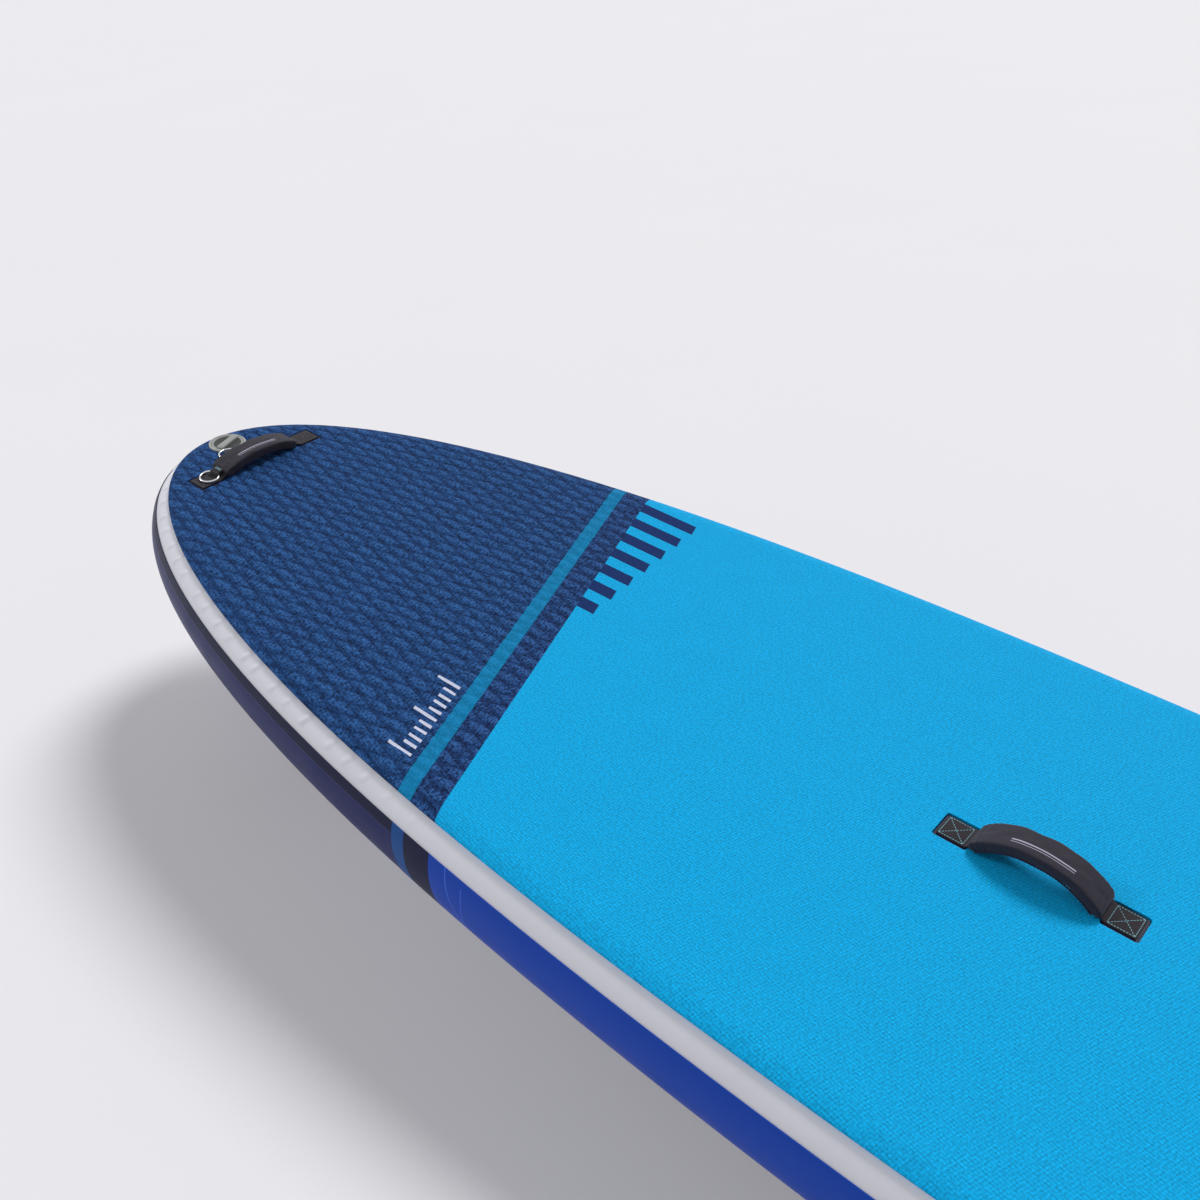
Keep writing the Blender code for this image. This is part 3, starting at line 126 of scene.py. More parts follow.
# Pads, as packed
PAD_THICKNESS = 0.0045
PAD_TOP = DECK + GAP + PAD_THICKNESS
PAD_EDGE = radians(26.2)
PAD_SLANT = radians(19.6)
STRIPE_START = 0.7158
STRIPE_END = STRIPE_START + 0.0215 / cos(PAD_SLANT)
BAND_END = STRIPE_END + 0.0396 / cos(PAD_SLANT)
RAIL_STRIPE_START = 0.7188
RAIL_STRIPE_END = 0.7398
RAIL_BAND_END = 0.7834
PAD_FRONT = 0.880
PAD_FRONT_RADIUS = 0.620
PAD_CUT_SPARE = 0.02
FINE_COLUMNS = 320
PLAIN_COLUMNS = 90
PLAIN_SPACING = 0.009

# Relief of the tail pad: crowned rhombs between two sets of grooves
RELIEF_HEIGHT = 0.0013
RELIEF_SLANT = radians(14.9)
RELIEF_PITCH = 0.0203
RELIEF_POWER = 2.6
RELIEF_LEAN = 0.30

# Valve, as packed
VALVE_X = PAD_TIP_X + 0.0423
FLANGE_RADIUS = 0.030
FLANGE_LOW = 0.0016
FLANGE_TOP = 0.0060
RECESS_FLOOR = 0.0032
BARREL_RADIUS = 0.0185
BARREL_DEPTH = 0.034
MOUTH_RADIUS = 0.0150
SEAT_RADIUS = 0.0115
SHELF_TOP = -0.030
RIM_CLEARANCE = 0.0008
CAP_RADIUS = 0.0258
CAP_CLEARANCE = 0.0004
CAP_TOP = 0.0056
CAP_EDGE = 0.0006
DISH_RADIUS = 0.0215
DISH_DEPTH = 0.0012
DISH_FLOOR = CAP_TOP - DISH_DEPTH
CAP_WEB = 0.0011
CAP_BAR_WIDTH = 0.0130
CAP_BAR_HEIGHT = 0.0031
CAP_BAR_ANGLE = radians(110)
PLUG_RADIUS = 0.0145
GROOVE_RADIUS = PLUG_RADIUS - 0.0011
HOLLOW_RADIUS = PLUG_RADIUS - 0.0024
GROOVE_TOP = -0.0020
GROOVE_LOW = -0.0040
PLUG_LOW = -0.0065
TURNED_EASE = 0.0003
SPRING_WIRE = 0.0005
SPRING_RADIUS = 0.0042
SPRING_TURNS = 5
SPRING_LOW = -0.0221
SPRING_HIGH = -0.0117

# Handles, as packed
PATCH_SPACING = 0.194
PATCH_SIDE = 0.041
PATCH_THICKNESS = 0.0025
PATCH_RIM = 0.0006
POCKET_CLEARANCE = 0.0005
POCKET_CORNER = 0.0034
TAIL_HANDLE_X = PAD_TIP_X + 0.1176
CENTRE_HANDLE_X = PAD_TIP_X + 1.4598
LEASH_BAR_X = PAD_TIP_X + 0.089
LEASH_ASIDE = 0.024
LEASH_PATCH_X = LEASH_BAR_X + 0.018
LEASH_PATCH_LENGTH = 0.026
LEASH_PATCH_WIDTH = 0.024
WEBBING = 0.0022
WEBBING_WIDTH = 0.034
WEB_LEVEL = PATCH_THICKNESS + 2 * GAP + WEBBING / 2
ARCH_HALF = 0.079
ARCH_POWER = 2.4
LOW_ARCH = 0.020
HIGH_ARCH = 0.034
LOW_GRIP_HALF = 0.0690
HIGH_GRIP_HALF = 0.0745
GRIP_WIDTH = 0.041
GRIP_THICKNESS = 0.0130
GRIP_SHOULDER = 0.0020
GRIP_FOOT_CORNER = 0.0016
GRIP_DECK_ROOM = 0.0012
GRIP_LEAST_ROOM = 0.0021
GRIP_VOXEL = 0.0014
GRIP_PRESSURE = 4.0
GRIP_MOVE = 0.0012
GRIP_HELD = 0.006
CLOTH_FRAMES = 20
CLOTH_QUALITY = 6
STITCH_RADIUS = 0.00036
STITCH_PITCH = 0.0034
STITCH_SHARE = 0.74
BOX_STITCH_HALF = 0.0148
NOSE_HANDLE_AT = (1.39834, 0, 0.2244)
NOSE_HANDLE_AXES = ((0, 1, 0), (-0.97672, 0, -0.21451), (-0.21451, 0, 0.97672))

# Rings and lashings, as packed
WIRE_RADIUS = 0.0016
RING_RADIUS = 0.0155
RING_BAR_OFFSET = 0.0095
RING_CORNER = 0.0040
RING_BOW = radians(105)
LOOP_WIDTH = 0.018
LOOP_WEB = 0.0012
LOOP_MOUTH = radians(70)
LASH_PATCH_RADIUS = 0.028
LASH_PATCH_THICKNESS = 0.0020
LASH_BAR_UP = 0.0058

# Fins, as packed
FIN_BOX_X = -1.265
MOUND_LENGTH = 0.330
MOUND_WIDTH = 0.090
MOUND_HEIGHT = 0.028
MOUND_SLOPE = 0.019
MOUND_SQUARENESS = 3.2
SLOT_TOP = -0.0051
FIN_TAB_WIDTH = 0.0092
TRACK_MIDDLE = -0.0158
FIN_ROOT = -0.0283
SIDE_FIN_X = -1.130
SIDE_FIN_Y = 0.190
SIDE_FIN_PATCH = 0.0020
SIDE_FIN_TOE = radians(2.5)
FOIL_FULLNESS = 0.25
OUTLINE_POWER = 2.2
OUTLINE_ROUNDING = 0.6
SWEEP_POWER = 1.35
TIP_THINNING = 0.62
TIP_START = 0.86
TIP_LEAN = 0.80
TIP_EDGE = 0.1

# Colours, in sRGB steps of 0 to 255
FLOOR_PALE = (232, 231, 235)
WHITE = (226, 227, 236)
NAVY = (27, 36, 88)
NAVY_DARK = (12, 19, 54)
TAIL_BLUE = (6, 50, 106)
STRIPE_TEAL = (0, 128, 180)
BAND_BLUE = (8, 42, 98)
MAIN_CYAN = (0, 166, 226)
RAIL_BLUE = (12, 66, 172)
RAIL_STRIPE = (18, 74, 142)
PIN_BLUE = (58, 104, 214)
PRINT_WHITE = (206, 210, 232)
GRIP_PRINT = (176, 176, 196)
# FOAM_PALE: the paler colour of the foam's grain dashes, also used for the painted highlight on the pads'
# crowns.
FOAM_PALE = (84, 142, 212)
CAP_DARK = (46, 50, 50)
CAP_PALE = (150, 154, 152)
STEEL = (0.72, 0.72, 0.74)


def linear(colour):
    """An sRGB colour as the linear one that a shader takes."""
    steps = [step / 255 for step in colour]
    return (*[step / 12.92 if step <= 0.04045 else ((step + 0.055) / 1.055) ** 2.4
              for step in steps], 1.0)


def mixed(first, second, share):
    """A colour between two, in sRGB steps."""
    return tuple(one + (two - one) * share for one, two in zip(first, second))


def link(obj):
    """Put an object in the scene."""
    bpy.context.scene.collection.objects.link(obj)
    return obj


def matrix_of(x_axis, y_axis, normal, origin):
    """A matrix from three axes and an origin."""
    return Matrix.Translation(origin) @ Matrix((x_axis, y_axis, normal)).transposed().to_4x4()


def make_camera():
    """The photograph's camera."""
    flat = cos(CAMERA_DOWN)
    forward = Vector((flat * cos(CAMERA_AZIMUTH), flat * sin(CAMERA_AZIMUTH), -sin(CAMERA_DOWN)))
    level = forward.cross(Vector((0, 0, 1))).normalized()
    right = cos(CAMERA_ROLL) * level + sin(CAMERA_ROLL) * level.cross(forward)
    data = bpy.data.cameras.new("camera")
    data.lens = CAMERA_LENS
    data.sensor_width = SENSOR_WIDTH
    data.clip_end = FAR_CLIP
    camera = link(bpy.data.objects.new("camera", data))
    camera.matrix_world = matrix_of(right, right.cross(forward), -forward, CAMERA_AT)
    bpy.context.scene.camera = camera


class Graph:
    """A material's nodes, with short calls for what the surfaces here use."""

    def __init__(self, name, roughness, metallic=0.0, specular=0.5):
        self.material = bpy.data.materials.new(name)
        self.material.use_nodes = True
        self.tree = self.material.node_tree
        self.shader = self.tree.nodes["Principled BSDF"]
        self.surface("Roughness", roughness)
        self.surface("Metallic", metallic)
        self.surface("Specular IOR Level", specular)
        self.place = self.add("ShaderNodeTexCoord").outputs["Object"]
        self.normal = None

    def add(self, kind, **settings):
        """A new node with its settings."""
        made = self.tree.nodes.new(kind)
        for key, value in settings.items():
            setattr(made, key, value)
        return made

    def feed(self, socket, value):
        """Set a socket from another node's output, a number or a colour."""
        if isinstance(value, bpy.types.NodeSocket):
            self.tree.links.new(value, socket)
        else:
            socket.default_value = value

    def surface(self, name, value):
        """Set one of the shader's inputs."""
        self.feed(self.shader.inputs[name], value)

    def math(self, operation, *values, clamp=False):
        """A Math node on numbers or outputs."""
        made = self.add("ShaderNodeMath", operation=operation, use_clamp=clamp)
        for socket, value in zip(made.inputs, values):
            self.feed(socket, value)
        return made.outputs[0]

    def times(self, first, second):
        """The product of two."""
        return self.math("MULTIPLY", first, second)

    def line(self, value, slope, start):
        """A value times one number, plus another."""
        return self.math("MULTIPLY_ADD", value, slope, start)

    def below(self, value, limit):
        """1 where a value is less than a limit, else 0."""
        return self.math("LESS_THAN", value, limit)

    def above(self, value, limit):
        """1 where a value is more than a limit, else 0."""
        return self.math("GREATER_THAN", value, limit)

    def between(self, value, low, high):
        """1 where a value lies between two limits, else 0."""
        return self.times(self.above(value, low), self.below(value, high))

    def along(self, *direction):
        """Metres along a direction."""
        made = self.add("ShaderNodeVectorMath", operation="DOT_PRODUCT")
        self.feed(made.inputs[0], self.place)
        self.feed(made.inputs[1], direction)
        return made.outputs["Value"]

    def wave(self, pitch, *direction):
        """A sine with this pitch along a direction."""
        return self.math("SINE", self.times(self.along(*direction), 2 * pi / pitch))

    def ripple(self, pitch, *direction):
        """A wave from 0 to 1."""
        return self.line(self.wave(pitch, *direction), 0.5, 0.5)

    def noise(self, scale, detail=2.0, stretch=None):
        """Noise from 0 to 1; stretch scales its coordinates on each axis."""
        made = self.add("ShaderNodeTexNoise")
        made.inputs["Scale"].default_value = scale
        made.inputs["Detail"].default_value = detail
        place = self.place
        if stretch:
            scaled = self.add("ShaderNodeMapping")
            scaled.inputs["Scale"].default_value = stretch
            self.feed(scaled.inputs["Vector"], place)
            place = scaled.outputs[0]
        self.feed(made.inputs["Vector"], place)
        return made.outputs["Fac"]

    def attribute(self, name):
        """A number stored on the mesh."""
        return self.add("ShaderNodeAttribute", attribute_name=name).outputs["Fac"]

    def contrast(self, value, slope):
        """Spread a value from 0 to 1 about its middle, and hold it within 0 to 1."""
        return self.math("MULTIPLY_ADD", value, slope, 0.5 - slope / 2, clamp=True)

    def mix(self, share, first, second):
        """A colour between two."""
        made = self.add("ShaderNodeMix", data_type="RGBA")
        for number, value in ((0, share), (6, first), (7, second)):
            self.feed(made.inputs[number], value)
        return made.outputs[2]

    def shade(self, colour, share, low, high):
        """A colour whose brightness follows a share from low to high."""
        made = self.add("ShaderNodeVectorMath", operation="SCALE")
        self.feed(made.inputs[0], colour if isinstance(colour, bpy.types.NodeSocket) else colour[:3])
        self.feed(made.inputs["Scale"], self.line(share, high - low, low))
        return made.outputs[0]

    def colour(self, value):
        """The surface's colour."""
        self.surface("Base Color", value)

    def print_over(self, mask, colour):
        """Print a colour over what the surface shows so far."""
        shown = self.shader.inputs["Base Color"].links[0].from_socket
        self.colour(self.mix(mask, shown, linear(colour)))

    def bump(self, height, metres):
        """A relief that the light shows, on top of those before it."""
        made = self.add("ShaderNodeBump")
        made.inputs["Distance"].default_value = metres
        self.feed(made.inputs["Height"], height)
        if self.normal is not None:
            self.feed(made.inputs["Normal"], self.normal)
        self.normal = made.outputs[0]
        self.surface("Normal", self.normal)


def object_from(bm, name):
    """An object from a bmesh, which is freed."""
    mesh = bpy.data.meshes.new(name)
    bm.to_mesh(mesh)
    bm.free()
    return bpy.data.objects.new(name, mesh)


def stage_floor():
    """A pale floor, tilted so that the board lies on its fin and its belly."""
    bm = bmesh.new()
    bmesh.ops.create_circle(bm, cap_ends=True, segments=96, radius=FLOOR_RADIUS)
    floor = link(object_from(bm, "floor"))
    tilt = Matrix.Rotation(-atan(FLOOR_SLOPE), 4, "Y")
    floor.matrix_world = Matrix.Translation((FLOOR_TOUCH_X, 0, FLOOR_TOUCH_Z)) @ tilt
    paint = Graph("floor_paper", 0.9)
    paint.colour(paint.shade(linear(FLOOR_PALE), paint.noise(1.5), 0.99, 1.01))
    floor.data.materials.append(paint.material)


def light_scene():
    """A soft lamp from the far side, as the shadows say, a weaker one from the tail, and the sky."""
    for name, source, strength, angle in (("key", SUN_FROM, SUN_STRENGTH, SUN_ANGLE),
                                          ("fill", FILL_FROM, FILL_STRENGTH, FILL_ANGLE)):
        lamp = bpy.data.lights.new(name, "SUN")
        lamp.energy = strength
        lamp.angle = angle
        light = link(bpy.data.objects.new(name, lamp))
        light.rotation_euler = (-source).to_track_quat("-Z", "Y").to_euler()
    world = bpy.data.worlds.new("sky")
    world.use_nodes = True
    bpy.context.scene.world = world
    tree = world.node_tree
    rays = tree.nodes.new("ShaderNodeLightPath")
    seen = rays.outputs["Is Camera Ray"]
    for also in ("Is Glossy Ray", "Is Transmission Ray"):
        either = tree.nodes.new("ShaderNodeMath")
        either.operation = "MAXIMUM"
        tree.links.new(seen, either.inputs[0])
        tree.links.new(rays.outputs[also], either.inputs[1])
        seen = either.outputs[0]
    tone = tree.nodes.new("ShaderNodeMix")
    tone.data_type = "RGBA"
    tone.inputs[6].default_value = (WORLD_STRENGTH, WORLD_STRENGTH, WORLD_STRENGTH, 1.0)
    tone.inputs[7].default_value = BACKDROP
    tree.links.new(seen, tone.inputs[0])
    tree.links.new(tone.outputs[2], tree.nodes["Background"].inputs["Color"])


def rocker(x):
    """How far the hull is lifted at x."""
    run = np.maximum(0.0, x - LIFT_START) / (HALF_LENGTH - LIFT_START)
    return NOSE_LIFT * run * run


def walk_along(x, y):
    """The distance walked to each point of a line."""
    return np.concatenate([[0.0], np.cumsum(np.hypot(np.diff(x), np.diff(y)))])


def unit(rows):
    """Rows scaled to a length of 1."""
    return rows / np.linalg.norm(rows, axis=1, keepdims=True)


def half_outline(spacing):
    """Half of the outline as rows x, y and outward normal, evenly spaced on the pad's flat part."""
    back = np.cos(np.linspace(0, pi / 2, OUTLINE_SAMPLES))
    front = back[-2::-1]
    x = WIDE_POINT + np.concatenate([(PAD_TIP_X - WIDE_POINT) * back, (PAD_NOSE_X - WIDE_POINT) * front])
    y = PAD_HALF * np.concatenate([(1 - back ** TAIL_SHOULDER) ** (1 / TAIL_ROUNDNESS),
                                   (1 - front ** NOSE_SHOULDER) ** (1 / NOSE_ROUNDNESS)])
    run_x, run_y = np.gradient(x), np.gradient(y)
    length = np.hypot(run_x, run_y)
    normal_x, normal_y = -run_y / length, run_x / length
    normal_x[[0, -1]] = -1.0, 1.0
    normal_y[[0, -1]] = 0.0
    walked = walk_along(x - RAIL_INSET * normal_x, y - RAIL_INSET * normal_y)
    marks = np.linspace(0, walked[-1], round(walked[-1] / spacing) + 1)
    return np.stack([np.interp(marks, walked, row) for row in (x, y, normal_x, normal_y)])


def rail_loop(stations, radius, angle):
    """The closed loop at one angle round the rail: the left side forward, then the right back."""
    count = stations.shape[1]
    x, y, normal_x, normal_y = stations[:, np.r_[0:count, count - 2:0:-1]]
    side = np.repeat((1.0, -1.0), (count, count - 2))
    reach = radius * sin(angle) - RAIL_INSET
    place_x = x + normal_x * reach
    height = RAIL_RADIUS + radius * cos(angle) + rocker(place_x)
    return np.stack([place_x, (y + normal_y * reach) * side, height], axis=1)


def bridge(first, second, count):
    """Quads between two rings of the same length, by the number of their first point."""
    here = np.arange(count)
    after = (here + 1) % count
    return np.stack([first + here, first + after, second + after, second + here], axis=1).tolist()


def skin_faces(rings, count, first=0, closed=False, capped=True):
    """Faces through rings of points, from one first point on, closed round or capped at the ends."""
    faces = []
    for ring in range(rings - 1 + closed):
        faces += bridge(first + ring * count, first + (ring + 1) % rings * count, count)
    if capped and not closed:
        for start in (first, first + (rings - 1) * count):
            faces.append(list(range(start, start + count)))
    return faces


def cross_strips(first, count):
    """Strips from side to side that fill a loop."""
    half = count // 2
    faces = [[first, first + 1, first + count - 1]]
    for step in range(1, half - 1):
        faces.append([first + step, first + step + 1, first + count - step - 1, first + count - step])
    faces.append([first + half - 1, first + half, first + half + 1])
    return faces


def mesh_object(name, points, faces):
    """An object from points and faces, with its faces turned outward."""
    mesh = bpy.data.meshes.new(name)
    mesh.from_pydata(np.asarray(points).tolist(), [], faces)
    bm = bmesh.new()
    bm.from_mesh(mesh)
    bmesh.ops.recalc_face_normals(bm, faces=bm.faces[:])
    bm.to_mesh(mesh)
    bm.free()
    return bpy.data.objects.new(name, mesh)


def skin(name, rings, closed=False):
    """A solid through rings of points."""
    return mesh_object(name, np.concatenate(rings), skin_faces(len(rings), len(rings[0]), 0, closed))


def filled_skin(name, loops):
    """A solid through rail loops, whose first and last loop are filled across."""
    count = len(loops[0])
    faces = skin_faces(len(loops), count, capped=False)
    faces += cross_strips(0, count) + cross_strips((len(loops) - 1) * count, count)
    return mesh_object(name, np.concatenate(loops), faces)


def slab(name, levels):
    """A solid through flat outlines: levels are (outline, height) pairs."""
    return skin(name, [np.insert(np.asarray(outline, float), 2, height, axis=1)
                       for outline, height in levels])


def measure(obj, name, values):
    """Store a number at each point of a mesh, for its material."""
    layer = obj.data.attributes.new(name, "FLOAT", "POINT")
    layer.data.foreach_set("value", np.asarray(values, np.float32))


def points_of(mesh):
    """A mesh's points as rows."""
    flat = np.zeros(len(mesh.vertices) * 3, np.float32)
    mesh.vertices.foreach_get("co", flat)
    return flat.reshape(-1, 3)


def evaluated(obj):
    """A new mesh of an object as its modifiers leave it."""
    graph = bpy.context.evaluated_depsgraph_get()
    return bpy.data.meshes.new_from_object(obj.evaluated_get(graph))


def baked(obj):
    """Turn an object's modifiers into its mesh; its place isn't kept."""
    link(obj)
    bpy.context.view_layer.update()
    mesh = evaluated(obj)
    cutters = [step.object for step in obj.modifiers if step.type == "BOOLEAN"]
    mesh.name = name = obj.name
    for used in (obj, *cutters):
        bpy.data.objects.remove(used, do_unlink=True)
    return bpy.data.objects.new(name, mesh)


def boolean(obj, other, operation="DIFFERENCE"):
    """Add an exact Boolean modifier."""
    step = obj.modifiers.new(operation.title(), "BOOLEAN")
    step.solver = "EXACT"
    step.operation = operation
    step.object = link(other)
    return obj


def piece(obj, look, *replaced, body="board", slot=None, angle=35, at=None):
    """Show a piece in a look, riding on a body, in place of CAD nodes."""
    if obj.name not in bpy.context.scene.collection.objects:
        link(obj)
    if at is not None:
        obj.matrix_world = at
    paint, usual_slot = looks[look]
    obj.data.materials.append(paint.material)
    obj.data.shade_smooth()
    obj.data.set_sharp_from_angle(angle=radians(angle))
    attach(obj, body)
    if replaced:
        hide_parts(*replaced)
    return obj


def cylinder_cutter(name, radius, centre, reach, segments=64):
    """An upright cylinder to cut with."""
    bm = bmesh.new()
    bmesh.ops.create_cone(bm, cap_ends=True, segments=segments, radius1=radius, radius2=radius,
                          depth=2 * reach)
    bmesh.ops.translate(bm, vec=Vector(centre), verts=bm.verts[:])
    return object_from(bm, name)


def circle(radius, count):
    """Even points round a circle."""
    turns = np.arange(count) * 2 * pi / count
    return radius * np.stack([np.cos(turns), np.sin(turns)], axis=1)


def quarter_arc(x, y, radius, quarter, steps):
    """Points round a quarter of a circle, counted from 0."""
    turns = (quarter + np.arange(steps + 1) / steps) * pi / 2
    return list(zip(x + radius * np.cos(turns), y + radius * np.sin(turns)))


def rounded_rectangle(length, width, corner, steps=6, lower_corner=None):
    """The outline of a rectangle with round corners, in steps to each corner."""
    outline = []
    for quarter, (side_x, side_y) in enumerate(((1, 1), (-1, 1), (-1, -1), (1, -1))):
        radius = lower_corner if lower_corner and side_y < 0 else corner
        outline += quarter_arc(side_x * (length / 2 - radius), side_y * (width / 2 - radius),
                               radius, quarter, steps)
    return outline


def pvc(name, colour):
    """Reinforced vinyl: a fine scrim under a satin coat, slightly uneven."""
    paint = Graph(name, 0.46, specular=0.20)
    weave = paint.math("ADD", paint.ripple(0.0011, 1, 0, 0), paint.ripple(0.0011, 0, 0.8, 0.6))
    paint.colour(paint.shade(linear(colour), paint.noise(6.0, 4.0), 0.93, 1.05))
    paint.surface("Roughness", paint.line(paint.noise(30.0), 0.16, 0.38))
    paint.bump(weave, 0.00003)
    paint.bump(paint.noise(14.0, 3.0), 0.0008)
    return paint


def rail_paint():
    """The band's vinyl: two laps of navy, a slanting stripe, and the blue side with pinstripes."""
    paint = pvc("rail_vinyl", NAVY)
    slant, angle = paint.attribute("slant"), paint.attribute("angle")
    colour = linear(NAVY)
    for mask, over in ((paint.below(angle, BAND_STEP), NAVY_DARK),
                       (paint.between(slant, RAIL_STRIPE_START, RAIL_STRIPE_END), RAIL_STRIPE),
                       (paint.between(slant, RAIL_STRIPE_END, RAIL_BAND_END), NAVY_DARK),
                       (paint.above(slant, RAIL_BAND_END), RAIL_BLUE)):
        colour = paint.mix(mask, colour, linear(over))
    curve = paint.math("POWER", paint.math("SUBTRACT", angle, BAND_TOP), 2.0)
    for start, bend, width, first_angle in ((0.810, 0.019, 0.0017, 0.0), (0.837, -0.010, 0.0012, 1.10)):
        offset = paint.math("MULTIPLY_ADD", curve, -bend, slant)
        line = paint.times(paint.between(offset, start, start + width), paint.above(angle, first_angle))
        colour = paint.mix(line, colour, linear(PIN_BLUE))
    paint.colour(paint.shade(colour, paint.noise(6.0, 4.0), 0.94, 1.05))
    return paint


def slanted(points, around):
    """Distance from the pad's tip along the board, sheared as the pads' stripe is."""
    across = np.abs(points[:, 1]) + RAIL_RADIUS * (around - np.sin(around))
    return points[:, 0] + tan(PAD_SLANT) * np.sign(points[:, 1]) * across - PAD_TIP_X


def make_hull():
    """Skins and band with a smooth outline; small puckers gather the deck along the pad's edge."""
    stations = half_outline(STATION_SPACING)
    count = 2 * stations.shape[1] - 2
    order = np.minimum(np.arange(count), count - np.arange(count))
    walk = order * STATION_SPACING
    sides = (np.arange(count) > count // 2).astype(int)
    total = int(walk.max() / PUCKER_PITCH) + 2
    draw = np.random.default_rng(PUCKER_SEED)
    jitter = draw.uniform(-PUCKER_JITTER, PUCKER_JITTER, (2, total)) * PUCKER_PITCH
    strength = draw.uniform(PUCKER_WEAKEST, 1.0, (2, total))
    curved = np.clip((np.abs(stations[0, order]) - PUCKER_START) / PUCKER_RISE, PUCKER_LEAST, 1.0)

    def puckers(angle):
        share = (angle - PAD_EDGE) / (BAND_TOP - PAD_EDGE)
        if not 0 <= share < PUCKER_REACH:
            return 0.0
        fade = sin(pi * min(1.0, share * 1.3 + 0.06))
        slid = walk + PUCKER_LEAN * RAIL_RADIUS * (angle - PAD_EDGE)
        number = np.clip(np.round(slid / PUCKER_PITCH).astype(int), 0, total - 1)
        away = slid - number * PUCKER_PITCH - jitter[sides, number]
        return PUCKER_HEIGHT * fade * strength[sides, number] * curved * np.exp(-(away / PUCKER_WIDTH) ** 2)

    def lining(angles, radius):
        return [rail_loop(stations, radius, angle) for angle in angles]

    angles = np.radians([0, 7, 14, 20, *np.linspace(25.5, 56.0, 21), 64, 76, 89.8])
    outer = [rail_loop(stations, RAIL_RADIUS + puckers(angle), angle) for angle in angles]
    deck = filled_skin("deck_shell", outer + lining([*angles[:0:-5], 0.0], RAIL_RADIUS - SKIN))
    boolean(deck, cylinder_cutter("deck_hole", BARREL_RADIUS + RIM_CLEARANCE, (VALVE_X, 0, DECK),
                                  BARREL_DEPTH))
    piece(baked(deck), "white", "deck_skin_tail", "deck_skin", "deck_skin_nose")

    angles = np.radians([90.2, 98, 106, 114, 122, 128, 134, 141, 148, 154, 162, 171, 180])
    inner = lining([angles[0], *angles[3::3]], RAIL_RADIUS - SKIN)
    bottom = filled_skin("bottom_shell", lining(angles[::-1], RAIL_RADIUS) + inner)
    piece(bottom, "white", "bottom_skin")
    bottom.data.materials.append(looks["navy"][0].material)
    white_rings = np.count_nonzero(angles > NAVY_EDGE + 0.001)
    for face in bottom.data.polygons[white_rings * count:(len(angles) - 1) * count]:
        face.material_index = 1

    angles = np.radians([55, 55.6, *np.linspace(57, 65.4, 5), 66, 66.6, *np.linspace(69, 125, 18),
                         126.4, 127])
    outer = []
    for angle in angles:
        from_rim = min(angle - angles[0], angles[-1] - angle) / BAND_RIM
        level = RAIL_RADIUS + GAP + BAND_THICKNESS - BAND_RIM_DROP * max(0.0, 1 - from_rim) ** 2
        loop = rail_loop(stations, level, angle)
        if angle > BAND_STEP + 0.001:
            lapped = np.clip((RAIL_STRIPE_START - slanted(loop, angle)) / BAND_LAP_FADE, 0, 1)
            loop = rail_loop(stations, level - BAND_LAP * lapped, angle)
        outer.append(loop)
    inner = [*angles[:0:-4], angles[0]]
    band = skin("rail_band_skin", outer + lining(inner, RAIL_RADIUS + GAP), True)
    around = np.repeat([*angles, *inner], count)
    measure(band, "slant", slanted(points_of(band.data), around))
    measure(band, "angle", around)
    piece(band, "rail", "rail_band")


def relief(x, y):
    """Height from 0 in a groove to 1 on a crown."""
    along, across = x * sin(RELIEF_SLANT), y * cos(RELIEF_SLANT)
    height = 1.0
    for distance in (across + along, across - along):
        share = 2 * np.mod(distance / RELIEF_PITCH, 1.0) - 1
        side = np.where(share > RELIEF_LEAN, 1 - RELIEF_LEAN, 1 + RELIEF_LEAN)
        height = height * (1 - np.abs((share - RELIEF_LEAN) / side) ** RELIEF_POWER)
    return height


